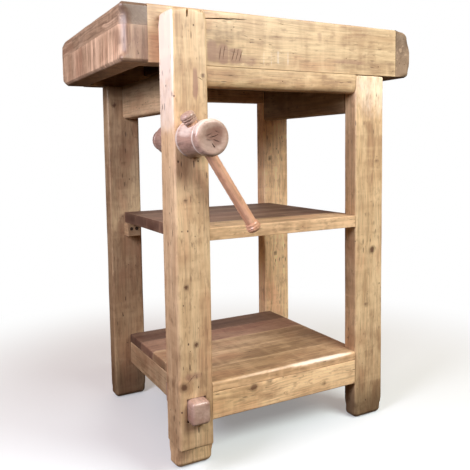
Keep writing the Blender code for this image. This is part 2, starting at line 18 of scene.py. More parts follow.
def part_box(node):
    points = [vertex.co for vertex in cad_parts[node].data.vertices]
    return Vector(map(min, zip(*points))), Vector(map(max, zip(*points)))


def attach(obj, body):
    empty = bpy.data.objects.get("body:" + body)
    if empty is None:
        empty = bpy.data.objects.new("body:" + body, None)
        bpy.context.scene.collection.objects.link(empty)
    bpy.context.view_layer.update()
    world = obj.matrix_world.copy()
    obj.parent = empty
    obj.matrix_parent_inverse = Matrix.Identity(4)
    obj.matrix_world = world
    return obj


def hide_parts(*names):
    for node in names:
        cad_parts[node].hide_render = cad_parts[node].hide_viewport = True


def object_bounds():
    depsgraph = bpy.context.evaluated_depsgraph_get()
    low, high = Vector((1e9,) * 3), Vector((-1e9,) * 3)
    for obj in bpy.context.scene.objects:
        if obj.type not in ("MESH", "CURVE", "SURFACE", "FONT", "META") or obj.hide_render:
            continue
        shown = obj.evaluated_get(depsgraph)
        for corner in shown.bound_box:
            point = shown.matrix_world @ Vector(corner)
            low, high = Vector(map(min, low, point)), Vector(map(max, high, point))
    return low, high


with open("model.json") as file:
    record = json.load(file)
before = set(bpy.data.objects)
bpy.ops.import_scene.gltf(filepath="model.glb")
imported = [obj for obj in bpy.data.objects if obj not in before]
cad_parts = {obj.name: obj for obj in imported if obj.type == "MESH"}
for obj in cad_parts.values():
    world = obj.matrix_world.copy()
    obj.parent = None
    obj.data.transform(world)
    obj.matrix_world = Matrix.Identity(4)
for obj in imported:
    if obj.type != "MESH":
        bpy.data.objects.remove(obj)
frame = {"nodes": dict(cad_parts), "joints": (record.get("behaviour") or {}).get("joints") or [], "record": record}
CAD_BOX = [list(corner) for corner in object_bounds()]

X, Y, Z = 0, 1, 2
FACES = {"-x": (X, 0), "+x": (X, 1), "-y": (Y, 0), "+y": (Y, 1), "-z": (Z, 0), "+z": (Z, 1)}
EDGE_ANGLES = np.radians([45.0, 30.0, 15.0, 0.0])
FINEST_STEP = 0.0003
CLEARANCE = 0.0004

BODY_OF = {node: body for body, nodes in frame["record"]["behaviour"]["bodies"].items() for node in nodes}
SLOT_OF = {part["node"]: part["material_slot"] for part in frame["record"]["subparts"]}


# ---- noise ----
CELL_KEYS, SEED_KEY = (73856093, 19349663, 83492791), 2654435
FIRST_MIX, SECOND_MIX = 1274126177, 1103515245
ALL_BITS, HALF_RANGE = 0x7FFFFFFF, 0x3FFFFFFF


def smooth(value):
    value = np.clip(value, 0.0, 1.0)
    return value * value * (3 - 2 * value)


def lattice_value(cells, seed):
    """A repeatable value from -1 to 1 for each whole-number cell."""
    mixed = cells[:, X] * CELL_KEYS[X] ^ cells[:, Y] * CELL_KEYS[Y] ^ cells[:, Z] * CELL_KEYS[Z]
    mixed = mixed ^ seed * SEED_KEY
    mixed = (mixed ^ (mixed >> 13)) * FIRST_MIX & ALL_BITS
    mixed = (mixed ^ (mixed >> 11)) * SECOND_MIX & ALL_BITS
    return mixed / HALF_RANGE - 1.0


def bumps(points, size, seed):
    """Smooth noise from -1 to 1 whose bumps are about size long."""
    cell = np.asarray(points, float) / size
    corner = np.floor(cell).astype(np.int64)
    part = smooth(cell - corner)
    total = np.zeros(len(cell))
    for step in np.ndindex(2, 2, 2):
        share = np.prod(np.where(np.array(step) == 1, part, 1 - part), axis=1)
        total += share * lattice_value(corner + step, seed)
    return total


# ---- meshes ----
def in_scene(name, data):
    item = bpy.data.objects.new(name, data)
    bpy.context.scene.collection.objects.link(item)
    return item


def mesh_from(bm, name="cutter"):
    mesh = bpy.data.meshes.new(name)
    bm.to_mesh(mesh)
    bm.free()
    return mesh


def facing(face):
    """The direction a named face looks in."""
    axis, side = FACES[face]
    outward = Vector((0, 0, 0))
    outward[axis] = (-1, 1)[side]
    return outward


def box_mesh(low, high):
    bm = bmesh.new()
    bmesh.ops.create_cube(bm, size=1.0)
    middle = [(a + b) / 2 for a, b in zip(low, high)]
    size = [b - a for a, b in zip(low, high)]
    bmesh.ops.scale(bm, vec=size, verts=bm.verts)
    bmesh.ops.translate(bm, vec=middle, verts=bm.verts)
    return mesh_from(bm)


def rod_mesh(start, end, radius, sides=48):
    """A plain cylinder between two points, for cutting a bore."""
    start, end = Vector(start), Vector(end)
    bm = bmesh.new()
    long = (end - start).length
    bmesh.ops.create_cone(bm, cap_ends=True, segments=sides, radius1=radius, radius2=radius, depth=long)
    turn = (end - start).to_track_quat("Z", "Y").to_matrix().to_4x4()
    bm.transform(Matrix.Translation((start + end) / 2) @ turn)
    return mesh_from(bm)


def turned_mesh(name, profile, centre, axis, sides=96):
    """A closed turned shape with these (radius, height) points from its top to its bottom."""
    bm = bmesh.new()
    loops = []
    angles = [2 * math.pi * side / sides for side in range(sides)]
    for radius, height in profile:
        loops.append([bm.verts.new((radius * math.cos(a), radius * math.sin(a), height)) for a in angles])
    for upper, lower in zip(loops, loops[1:]):
        for side in range(sides):
            after = (side + 1) % sides
            bm.faces.new((upper[side], lower[side], lower[after], upper[after]))
    bm.faces.new(loops[0])
    bm.faces.new(reversed(loops[-1]))
    bmesh.ops.recalc_face_normals(bm, faces=bm.faces)
    turn = Vector(axis).to_track_quat("Z", "Y").to_matrix().to_4x4()
    bm.transform(Matrix.Translation(centre) @ turn)
    return mesh_from(bm, name)


def arc(centre, radii, start, end, steps):
    """Points on an ellipse, angles in degrees from the radius axis."""
    angles = [math.radians(start + (end - start) * i / steps) for i in range(steps + 1)]
    return [(centre[0] + radii[0] * math.cos(a), centre[1] + radii[1] * math.sin(a)) for a in angles]


def cut(mesh, cutters):
    """The mesh with the cutter meshes taken out of it."""
    if not cutters:
        return mesh
    item = in_scene("cut_item", mesh)
    tools = [in_scene("cut_tool", cutter) for cutter in cutters]
    for tool in tools:
        modifier = item.modifiers.new("cut", "BOOLEAN")
        modifier.operation = "DIFFERENCE"
        modifier.solver = "EXACT"
        modifier.object = tool
    bpy.context.view_layer.update()
    result = bpy.data.meshes.new_from_object(item.evaluated_get(bpy.context.evaluated_depsgraph_get()))
    if len(result.vertices) < len(mesh.vertices) * 0.8:
        raise RuntimeError("a cut left too little of " + mesh.name)
    for old in [item] + tools:
        bpy.data.objects.remove(old)
    return result


# ---- timbers ----
# How uneven a board's plain and named edges are, as (share of the radius, length of its bumps), and how
# many times the radius the lattice leaves for them.
PLAIN_UNEVEN, NAMED_UNEVEN = (0.3, 0.035), (0.12, 0.05)
PLAIN_ROOM, NAMED_ROOM = 1.25, 1.12
# The surface's broad and fine waves, as (share of the wave depth, length of the bumps).
BROAD_WAVE, FINE_WAVE = (0.35, 0.09), (0.15, 0.028)


def stops(low, high, low_radii, high_radii, step, extra):
    """Lattice lines from low to high, close together where the edges of each radius are rounded."""
    bend = 1 - np.tan(EDGE_ANGLES)
    low_edge = [low + radius * bend for radius in low_radii]
    high_edge = [high - radius * bend for radius in high_radii]
    first, last = max(line[-1] for line in low_edge), min(line[-1] for line in high_edge)
    count = max(1, round((last - first) / step))
    middle = np.linspace(first, last, count + 1)[1:-1]
    lines = np.concatenate([*low_edge, middle, *high_edge, [e for e in extra if low < e < high]])
    lines = np.unique(np.round(lines, 6))
    keep = np.concatenate([[True], np.diff(lines) > FINEST_STEP])
    keep[-1] = True
    if lines[-1] - lines[-2] <= FINEST_STEP:
        keep[-2] = False
    return lines[keep]


def shell_of(lines):
    """Points and quads of the closed surface of a lattice with these lines along x, y and z."""
    counts = tuple(len(line) for line in lines)
    outside = np.zeros(counts, bool)
    outside[[0, -1]] = True
    outside[:, [0, -1]] = True
    outside[:, :, [0, -1]] = True
    index = np.full(counts, -1)
    index[outside] = np.arange(outside.sum())
    where = np.argwhere(outside)
    points = np.stack([lines[axis][where[:, axis]] for axis in (X, Y, Z)], axis=1)
    quads = []
    for axis in (X, Y, Z):
        for side in (0, -1):
            sheet = np.take(index, side, axis)
            corners = [sheet[:-1, :-1], sheet[1:, :-1], sheet[1:, 1:], sheet[:-1, 1:]]
            quad = np.stack(corners, -1).reshape(-1, 4)
            inward = (side == 0) != (axis == Y)
            quads.append(quad[:, ::-1] if inward else quad)
    return points, np.concatenate(quads)


def edge_gap(points, low, high, pair):
    """How far each point is from the edge where two named faces meet, such as "-y+z"."""
    gap = np.zeros(len(points))
    for face in (pair[:2], pair[2:]):
        axis, side = FACES[face]
        gap = np.maximum(gap, np.abs(points[:, axis] - (low, high)[side][axis]))
    return gap


def timber_mesh(name, low, high, seed, look):
    """A closed board with worn, uneven edges. Edges are rounded by base, or by the radius that edges names;
    the faces in flush keep their place and their edges, because they meet another board."""
    low, high = np.array(low, float), np.array(high, float)
    half = (high - low) / 2
    base, edges, flush = look["radius"], look["edges"], look["flush"]
    radii = {face: [] if face in flush.split() else [base * PLAIN_ROOM] for face in FACES}
    for pair, radius in edges.items():
        for face in (pair[:2], pair[2:]):
            radii[face].append(radius * NAMED_ROOM)
    lines = []
    for axis, faces in enumerate((("-x", "+x"), ("-y", "+y"), ("-z", "+z"))):
        kept = [[min(r, half[axis] * 0.9) for r in radii[face] or [FINEST_STEP]] for face in faces]
        lines.append(stops(low[axis], high[axis], *kept, look["step"], look["extra"][axis]))
    points, quads = shell_of(lines)

    reach = base * (1 + PLAIN_UNEVEN[0] * bumps(points, PLAIN_UNEVEN[1], seed))
    for pair, radius in edges.items():
        near = smooth(1 - (edge_gap(points, low, high, pair) - radius) / (2.0 * radius))
        uneven = radius * (1 + NAMED_UNEVEN[0] * bumps(points, NAMED_UNEVEN[1], seed + 5))
        reach = reach + (uneven - reach) * near
    reach = np.minimum(reach, half.min() * 0.95)[:, None]
    free_low, free_high = low.copy(), high.copy()
    for face in flush.split():
        axis, side = FACES[face]
        (free_low, free_high)[side][axis] += (-1, 1)[side] * 0.1
    inner = np.clip(points, free_low + reach, free_high - reach)
    offset = points - inner
    widest = np.abs(offset).max(axis=1)
    power = look["bevel"]
    length = (np.abs(offset) ** power).sum(axis=1) ** (1 / power)
    placed = inner + offset * np.where(length > 0, widest / np.maximum(length, 1e-9), 0)[:, None]

    outward = offset / np.maximum(np.linalg.norm(offset, axis=1), 1e-9)[:, None]
    broad = BROAD_WAVE[0] * bumps(points, BROAD_WAVE[1], seed + 1)
    fine = FINE_WAVE[0] * bumps(points, FINE_WAVE[1], seed + 2)
    sink = look["wave"] * (0.5 + broad + fine)
    placed -= outward * (sink * (widest / reach[:, 0]) ** 4)[:, None]
    mesh = bpy.data.meshes.new(name)
    mesh.from_pydata(placed.tolist(), [], quads.tolist())
    return mesh


# ---- cracks and worm holes ----
CUTTER_PROUD = 0.0015
HOLE_SHARE, HOLE_LONG, HOLE_SINK, HOLE_SIDES = 0.45, 0.005, 0.0008, 9
DASH_LONG, DASH_WIDE, DASH_DEEP = (0.004, 0.011), (0.0012, 0.0024), 0.0024
MARK_INSET, MARK_GAP = 0.011, 0.014
CHECK_DEPTH = 2.2


def add_check(bm, path, width, depth, outward):
    """Adds a wedge that cuts a drying check. It follows path and is deepest in the middle."""
    rows = []
    for index, place in enumerate(path):
        ahead = path[min(index + 1, len(path) - 1)] - path[max(index - 1, 0)]
        across = ahead.cross(outward).normalized()
        swell = math.sin(math.pi * (index + 0.5) / len(path)) ** 0.7
        half = across * width / 2 * swell
        top, bottom = place + outward * CUTTER_PROUD, place - outward * depth * swell
        rows.append([bm.verts.new(p) for p in (top + half, top - half, bottom)])
    for a, b in zip(rows, rows[1:]):
        for i in range(3):
            j = (i + 1) % 3
            bm.faces.new((a[i], a[j], b[j], b[i]))
    bm.faces.new(reversed(rows[0]))
    bm.faces.new(rows[-1])


def wandering(start, end, sway, generator):
    """A path from start to end that wanders a little from side to side, with a stop about every 8 mm."""
    start, end = Vector(start), Vector(end)
    steps = int(min(8, max(2, (end - start).length / 0.008)))
    path = [start]
    for index in range(1, steps):
        jitter = Vector(generator.uniform(-sway, sway, 3))
        path.append(start.lerp(end, index / steps) + jitter)
    return path + [end]


def scar_mesh(low, high, faces, grain, seed, count, checks):
    """One cutter for a board's dashes and worm holes, count on each of the named faces, and its long checks.
    A check is (start, end, width, the face it is in)."""
    generator = np.random.default_rng(seed)
    bm = bmesh.new()
    taken = []
    for start, end, width, face in checks:
        axis = FACES[face][0]
        path = wandering(start, end, width * 0.4, generator)
        for place in path:
            place[axis] = start[axis]
        add_check(bm, path, width, width * CHECK_DEPTH, facing(face))
        taken += [path[0].lerp(path[-1], step / 20) for step in range(21)]
    inset = [min(MARK_INSET, (b - a) * 0.3) for a, b in zip(low, high)]
    for face in faces.split():
        axis, side = FACES[face]
        outward = facing(face)
        for _ in range(count):
            place = Vector([generator.uniform(a + gap, b - gap) for a, b, gap in zip(low, high, inset)])
            place[axis] = (low, high)[side][axis]
            kind = generator.uniform()
            long, wide = generator.uniform(*DASH_LONG), generator.uniform(*DASH_WIDE)
            if any((place - other).length < MARK_GAP for other in taken):
                continue
            taken.append(place)
            if kind < HOLE_SHARE:
                turn = outward.to_track_quat("Z", "Y").to_matrix().to_4x4()
                bmesh.ops.create_cone(
                    bm, cap_ends=True, segments=HOLE_SIDES, radius1=wide * 0.35, radius2=wide * 0.6,
                    depth=HOLE_LONG, matrix=Matrix.Translation(place - outward * HOLE_SINK) @ turn,
                )
                continue
            half = Vector((0, 0, 0))
            half[grain] = long / 2
            half[3 - axis - grain] = generator.uniform(-0.1, 0.1) * long
            add_check(bm, [place - half, place, place + half], wide, DASH_DEEP, outward)
    bmesh.ops.recalc_face_normals(bm, faces=bm.faces)
    return mesh_from(bm)


# ---- dressing a piece ----
EDGE_WEAR = 0.004
KNOT_REACH, KNOT_PULL_REACH, KNOT_PULL = 3, 2.2, 0.75
# Only the walls and floors of cuts get painted shade, as pits: this deep, and this far from any edge.
PIT_FROM, PIT_FADE, PIT_EDGE = 0.0011, 0.0007, 0.008


def store(mesh, name, values, kind="FLOAT", key="value"):
    layer = mesh.attributes.new(name, kind, "POINT")
    layer.data.foreach_set(key, np.ascontiguousarray(values, np.float32).ravel())


def knot_field(points, knots):
    """Closeness to the nearest knot, 1 in its heart and 0 at three radii, and how the grain bends round it.
    A knot is (place, radius, the axis it runs through the board along)."""
    closeness = np.zeros(len(points))
    bend = np.zeros_like(points)
    for place, radius, through in knots:
        offset = points - np.array(place)
        offset[:, through] = 0
        away = np.linalg.norm(offset, axis=1)
        closeness = np.maximum(closeness, np.clip(1 - away / (KNOT_REACH * radius), 0, 1))
        pull = np.exp(-((away / (KNOT_PULL_REACH * radius)) ** 2))
        bend -= offset * (KNOT_PULL * pull)[:, None]
    return closeness, bend


def blob_field(points, blobs):
    """The strongest of the blobs at each point. A blob is (place, spread along x, y and z, strength)."""
    total = np.zeros(len(points))
    for place, spread, strength in blobs:
        away = ((np.abs(points - np.array(place)) / np.array(spread)) ** 4).sum(axis=1) ** 0.25
        value = strength * smooth(1.5 - away)
        total = np.where(np.abs(value) > np.abs(total), value, total)
    return total


def store_grain(mesh, axis, seed, low, high, look):
    """Writes what the wood material reads: grain position, tone, edge wear, end grain, knots and patches."""
    count = len(mesh.vertices)
    points, normals = np.zeros(count * 3), np.zeros(count * 3)
    mesh.vertices.foreach_get("co", points)
    mesh.vertices.foreach_get("normal", normals)
    points, normals = points.reshape(-1, 3), normals.reshape(-1, 3)
    low, high = np.array(low), np.array(high)
    closeness, bend = knot_field(points, look["knots"])
    first, second = [a for a in (X, Y, Z) if a != axis]
    generator = np.random.default_rng(seed)
    turn = generator.uniform(0, 2 * math.pi)
    pith = generator.uniform(0.035, 0.09) * np.array([math.cos(turn), math.sin(turn)])
    local = points + bend - (low + high) / 2
    along = local[:, axis] + generator.uniform(0, 40)
    grain = np.stack([along, local[:, first], local[:, second]], axis=1)
    grain[:, 1:] += pith
    store(mesh, "grain", grain, "FLOAT_VECTOR", "vector")
    store(mesh, "tone", look["tone"] * (1 - blob_field(points, look["shades"])))
    gaps = np.sort(np.minimum(np.abs(points - low), np.abs(points - high)), axis=1)
    store(mesh, "wear", np.exp(-gaps[:, 1] / EDGE_WEAR))
    # Pits: the walls and floors of cuts get painted shade.
    rounded = 1.2 * max([look["radius"], *look["edges"].values()])
    pit_shade = smooth((gaps[:, 0] - PIT_FROM) / PIT_FADE) * (gaps[:, 1] > max(PIT_EDGE, rounded))
    store(mesh, "pit_shade", pit_shade if look["pits"] else np.zeros(count))
    store(mesh, "ends", smooth((np.abs(normals[:, axis]) - 0.55) / 0.35))
    store(mesh, "knot", closeness)
    store(mesh, "patch", blob_field(points, look["patches"]))


def dress(mesh, node, wood=""):
    """Makes the mesh a piece that stands for the CAD node, on its body and in its slot's wood or another."""
    piece = in_scene(node + "_piece", mesh)
    mesh.materials.clear()
    mesh.materials.append(WOODS[wood or SLOT_OF[node]])
    mesh.shade_smooth()
    mesh.set_sharp_from_angle(angle=math.radians(38))
    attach(piece, BODY_OF[node])
    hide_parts(node)


# A timber's look. radius rounds its plain edges and edges the named ones. flush faces meet another board.
# bevel is 2 for round edges and less for flatter ones. wave is the surface's depth. step and extra place the
# lattice. The shade blobs darken the tone, and lighten it below 0: painted shade and painted light. Patches
# tear (above 0) or bleach (below 0) the wood, and some are painted highlights and painted shade. The foot
# blob is painted shade on a leg's foot, and painted light below 0. marks are (faces, count, checks) for
# scars. notched boards end at the legs. wood overrides the slot's. Cuts get painted shade as pits.
PLAIN_LOOK = dict(
    tone=1.0, radius=0.001, edges={}, flush="", bevel=1.6, wave=0.0007, step=0.0075, extra=((), (), ()),
    shades=(), patches=(), foot=0, knots=(), marks=(), notched=False, cutters=(), pits=True, wood="",
)


def timber(node, grain, seed, **changes):
    """A detailed board that stands for a CAD board. It fills the CAD board's box."""
    look = {**PLAIN_LOOK, **changes}
    low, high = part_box(node)
    cutters = [*look["cutters"], *(leg_notches(node) if look["notched"] else ())]
    if look["marks"]:
        cutters.append(scars(node, grain, seed + 1, *look["marks"]))
    if look["foot"]:
        # Painted shade on the leg's foot, darker towards the floor; below 0 it is painted light.
        middle = (low + high) / 2
        foot_shading = ((middle.x, middle.y, low.z - 0.02), (0.3, 0.3, 0.085), look["foot"])
        look["shades"] = [foot_shading, *look["shades"]]
    mesh = cut(timber_mesh(node, low, high, seed, look), cutters)
    store_grain(mesh, grain, seed, low, high, look)
    dress(mesh, node, look["wood"])


# ---- materials ----
class Graph:
    """A node tree with short ways to add nodes. Sockets are linked, other values are set."""

    def __init__(self, owner):
        owner.use_nodes = True
        self.tree = owner.node_tree
        self.tree.nodes.clear()

    def add(self, kind, settings=None, **inputs):
        node = self.tree.nodes.new("ShaderNode" + kind)
        for key, value in (settings or {}).items():
            setattr(node, key, value)
        for key, value in inputs.items():
            self.put(node.inputs[key.replace("_", " ")], value)
        return node

    def put(self, socket, value):
        if isinstance(value, bpy.types.NodeSocket):
            self.tree.links.new(value, socket)
        else:
            socket.default_value = value

    def fill(self, node, values):
        for socket, value in zip(node.inputs, values):
            self.put(socket, value)
        return node.outputs[0]

    def read(self, name):
        """A number stored on the mesh."""
        return self.add("Attribute", {"attribute_name": name, "attribute_type": "GEOMETRY"}).outputs["Fac"]

    def math(self, operation, *values, clamp=False):
        return self.fill(self.add("Math", {"operation": operation, "use_clamp": clamp}), values)

    def times(self, first, second, clamp=False):
        return self.math("MULTIPLY", first, second, clamp=clamp)

    def swing(self, value, strength):
        """A noise's distance from its middle value, times strength."""
        return self.times(self.math("SUBTRACT", value, 0.5), strength)

    def vector(self, operation, *values):
        return self.fill(self.add("VectorMath", {"operation": operation}), values)

    def stretch(self, vector, along, across):
        """The vector scaled along and across the grain. For noise these are bumps a metre."""
        return self.vector("MULTIPLY", vector, (along, across, across))

    def noise(self, vector, along, across, detail=3.0, roughness=0.55):
        node = self.add("TexNoise", Vector=self.stretch(vector, along, across), Scale=1.0)
        self.put(node.inputs["Detail"], detail)
        self.put(node.inputs["Roughness"], roughness)
        return node.outputs["Fac"]

    def step(self, value, low, high, last=1.0, first=0.0):
        """Goes smoothly from first to last while value goes from low to high."""
        node = self.add(
            "MapRange", {"interpolation_type": "SMOOTHSTEP"},
            Value=value, From_Min=low, From_Max=high, To_Min=first, To_Max=last,
        )
        return node.outputs["Result"]

    def mix(self, share, first, second, blend="MIX"):
        node = self.add("Mix", {"data_type": "RGBA", "blend_type": blend, "clamp_factor": True})
        for socket, value in ((0, share), (6, first), (7, second)):
            self.put(node.inputs[socket], value)
        return node.outputs[2]

    def ramp(self, value, points):
        node = self.add("ValToRGB", Fac=value)
        elements = node.color_ramp.elements
        while len(elements) < len(points):
            elements.new(0.5)
        for element, (place, colour) in zip(elements, points):
            element.position = place
            element.color = (*colour, 1.0)
        return node.outputs["Color"]

    def blend(self, share, first, second):
        """One shader turning into another."""
        return self.fill(self.add("MixShader"), (share, first, second))


# Patch colours: bleached wood, also used for painted highlights, and torn wood, also used for painted shade.
BLEACHED_AND_HIGHLIGHT = (0.82, 0.74, 0.645, 1.0)
TORN_AND_SHADE = (0.3, 0.155, 0.112, 1.0)
KNOT_HEART = (0.095, 0.038, 0.023, 1.0)
DASH_COLOUR = (0.06, 0.028, 0.016, 1.0)
# The colour of the painted shade in cuts.
PIT_SHADE_COLOUR = (0.05, 0.022, 0.013, 1.0)
RING_SCALE = 52.0  # rings about 6 mm apart


def scaled(colour, share):
    return tuple(min(1.0, part * share) for part in colour) + (1.0,)


def cell_marks(g, grain, along, across, reach, picked):
    """Marks in a few of a pattern's cells. A mark fades in over reach, from outside inwards, in the cells
    whose random number is above picked."""
    cell = g.add("TexVoronoi", Vector=g.stretch(grain, along, across), Scale=1.0)
    pick = g.add("SeparateColor", Color=cell.outputs["Color"]).outputs[0]
    return g.times(g.step(cell.outputs["Distance"], *reach), g.step(pick, *picked))


def waxed_wood(
    name, pale, mid, deep, streak=0.12, flecks=0.5, gloss=0.46, ends=0.5, figure=0.25, runs=0.0, coat=0.1
):
    """Old waxed softwood. pale, mid and deep are its colours; the rest set how strong each feature is."""
    material = bpy.data.materials.new(name)
    g = Graph(material)
    grain = g.add("Attribute", {"attribute_name": "grain", "attribute_type": "GEOMETRY"}).outputs["Vector"]
    tone, wear, end, knot = g.read("tone"), g.read("wear"), g.read("ends"), g.read("knot")
    patch, pit_shade = g.read("patch"), g.read("pit_shade")

    # The grain wanders sideways by up to 15 mm.
    drift_node = g.add("TexNoise", Vector=g.stretch(grain, 3.0, 11.0), Scale=1.0, Detail=3.0)
    drift = g.vector("SUBTRACT", drift_node.outputs["Color"], (0.5, 0.5, 0.5))
    flowing = g.vector("ADD", grain, g.stretch(drift, 0.0, 0.03))
    wave = g.add(
        "TexWave", {"wave_type": "RINGS", "rings_direction": "X", "wave_profile": "SAW"},
        Vector=flowing, Scale=RING_SCALE, Distortion=1.4, Detail=3.0, Detail_Scale=1.2,
    )
    late_wood = g.step(wave.outputs["Fac"], 0.35, 0.98)

    bands = g.noise(flowing, 1.7, 24.0, 4.0, 0.62)
    fibres = g.noise(flowing, 9.0, 260.0, 4.0, 0.65)
    clouds = g.noise(grain, 10.0, 17.0, 4.0, 0.62)
    stains = g.noise(flowing, 6.0, 15.0, 4.0, 0.66)
    blush = g.noise(flowing, 5.0, 13.0, 3.0, 0.6)
    mottle = g.noise(grain, 45.0, 110.0, 3.0, 0.6)
    waves = g.noise(flowing, 46.0, 9.0, 2.0, 0.5)

    # Bands along the grain, clouds, stains, a red blush, growth rings, fibres, mottling and cross ripples.
    across = g.step(end, 0.2, 0.8, 0.15, first=1.0)
    colour = g.ramp(bands, [(0.32, deep), (0.46, mid), (0.62, pale)])
    for share, layer in (
        (g.step(clouds, 0.48, 0.64, 0.65), scaled(pale, 1.02)),
        (g.step(stains, 0.5, 0.68, 0.8), scaled(deep, 0.9)),
        (g.step(blush, 0.5, 0.66, 0.62), (mid[0] * 0.97, mid[1] * 0.8, mid[2] * 0.8, 1.0)),
        (g.times(late_wood, 0.1), scaled(deep, 0.5)),
        (g.times(across, g.step(fibres, 0.56, 0.36, streak * 2.8)), scaled(deep, 0.4)),
        (g.times(across, g.step(mottle, 0.54, 0.7, 0.42)), scaled(deep, 0.6)),
        (g.step(waves, 0.53, 0.7, figure), scaled(pale, 1.12)),
        (g.step(waves, 0.47, 0.3, figure), scaled(deep, 0.95)),
    ):
        colour = g.mix(share, colour, layer)
    if runs:
        drips = g.noise(flowing, 3.0, 75.0, 3.0, 0.6)
        colour = g.mix(g.step(drips, 0.55, 0.66, runs), colour, scaled(pale, 1.35))

    # Ragged knots, patches (some are painted highlights and painted shade), dark end grain, pale worn edges,
    # dashes and pores in places, and painted shade in cuts.
    ragged = g.math("ADD", knot, g.swing(mottle, 0.6))
    knot_heart = g.step(ragged, 0.56, 0.76, 0.82)
    tear_and_light = g.math("ADD", patch, g.swing(mottle, 0.5))
    worn = g.times(wear, g.step(clouds, 0.34, 0.6))
    dashes = cell_marks(g, grain, 48.0, 250.0, (0.42, 0.16), (0.9, 0.91))
    pores = cell_marks(g, grain, 95.0, 130.0, (0.26, 0.12), (0.95, 0.955))
    where = g.step(g.noise(grain, 9.0, 22.0, 2.0), 0.44, 0.58)
    marks = g.times(g.math("MAXIMUM", dashes, pores), g.times(where, flecks), clamp=True)
    for share, layer in (
        (g.step(ragged, 0.3, 0.62, 0.55), scaled(deep, 0.5)),
        (knot_heart, KNOT_HEART),
        (g.step(tear_and_light, 0.2, 0.75, 0.75), TORN_AND_SHADE),
        (g.step(tear_and_light, -0.2, -0.75, 0.7), BLEACHED_AND_HIGHLIGHT),
        (g.times(end, ends), scaled(deep, 0.45)),
        (g.times(worn, 0.4), scaled(pale, 1.22)),
        (g.times(marks, 0.85), DASH_COLOUR),
        # Painted shade in cuts.
        (g.times(pit_shade, 0.88), PIT_SHADE_COLOUR),
    ):
        colour = g.mix(share, colour, layer)
    tint = g.fill(g.add("CombineColor"), (tone, tone, tone))
    colour = g.mix(1.0, colour, tint, "MULTIPLY")

    roughness = g.math("ADD", gloss, g.swing(clouds, 0.35))
    roughness = g.math("SUBTRACT", roughness, g.times(wear, 0.12), clamp=True)

    height = g.math("ADD", g.times(fibres, 0.4), g.times(late_wood, 0.15))
    height = g.math("ADD", height, g.times(g.noise(grain, 20.0, 40.0, 2.0), 0.9))
    height = g.math("SUBTRACT", height, g.times(marks, 1.6))
    height = g.math("SUBTRACT", height, g.times(knot_heart, 0.3))
    bump = g.add("Bump", Strength=0.55, Distance=0.0008, Height=height)

    shader = g.add(
        "BsdfPrincipled", Base_Color=colour, Roughness=roughness, Normal=bump.outputs["Normal"],
        Specular_IOR_Level=0.4, Coat_Weight=coat, Coat_Roughness=0.28,
    )
    g.add("OutputMaterial", Surface=shader.outputs[0])
    return material


def aged_steel():
    """Dark steel with brown bloom, for the countersunk screws."""
    material = bpy.data.materials.new("screw_steel")
    g = Graph(material)
    bloom = g.noise(g.add("TexCoord").outputs["Object"], 900.0, 900.0)
    bump = g.add("Bump", Strength=0.3, Distance=0.0001, Height=bloom)
    colour = g.ramp(bloom, [
        (0.35, (0.05, 0.042, 0.038)), (0.55, (0.11, 0.085, 0.065)), (0.7, (0.16, 0.09, 0.05)),
    ])
    shader = g.add(
        "BsdfPrincipled", Base_Color=colour, Roughness=g.step(bloom, 0.3, 0.7, 0.68, first=0.38),
        Normal=bump.outputs["Normal"], Metallic=0.85,
    )
    g.add("OutputMaterial", Surface=shader.outputs[0])
    return material


HONEY = dict(pale=(0.745, 0.55, 0.33), mid=(0.605, 0.414, 0.235), deep=(0.395, 0.231, 0.127))
BROWN = dict(pale=(0.53, 0.372, 0.25), mid=(0.39, 0.26, 0.165), deep=(0.23, 0.14, 0.088))
DULL = dict(pale=(0.58, 0.395, 0.235), mid=(0.45, 0.29, 0.16), deep=(0.29, 0.17, 0.09))
# A redder copy of the shelf wood, for the shelf boards in shade: painted shade.
SHADED_RED = dict(pale=(0.62, 0.375, 0.25), mid=(0.48, 0.27, 0.175), deep=(0.31, 0.155, 0.105))
TURNED = dict(pale=(0.64, 0.455, 0.37), mid=(0.44, 0.28, 0.215), deep=(0.25, 0.143, 0.108))
SALMON = dict(pale=(0.76, 0.46, 0.31), mid=(0.66, 0.37, 0.235), deep=(0.48, 0.25, 0.15))
WOODS = {name: waxed_wood(name, **palette, **features) for name, palette, features in (
    ("worktop_wood", HONEY, dict(flecks=0.5, figure=0.34)),
    ("worktop_end_wood", BROWN, dict(flecks=0.4, streak=0.2, ends=0.35, runs=0.75)),
    ("leg_wood", HONEY, dict(flecks=0.9)),
    ("rail_wood", HONEY, dict(flecks=0.7)),
    ("shelf_wood", DULL, dict(flecks=0.5, gloss=0.6, coat=0.0)),
    ("shaded_shelf_wood", SHADED_RED, dict(flecks=0.5, gloss=0.66, coat=0.0)),
    ("chop_wood", HONEY, dict(flecks=1.5)),
    ("turned_wood", TURNED, dict(flecks=0.3, ends=0.15, gloss=0.36, figure=0.15, coat=0.25)),
    ("handle_wood", SALMON, dict(flecks=0.3, ends=0.2, gloss=0.38, figure=0.1, coat=0.2)),
)}
STEEL = aged_steel()

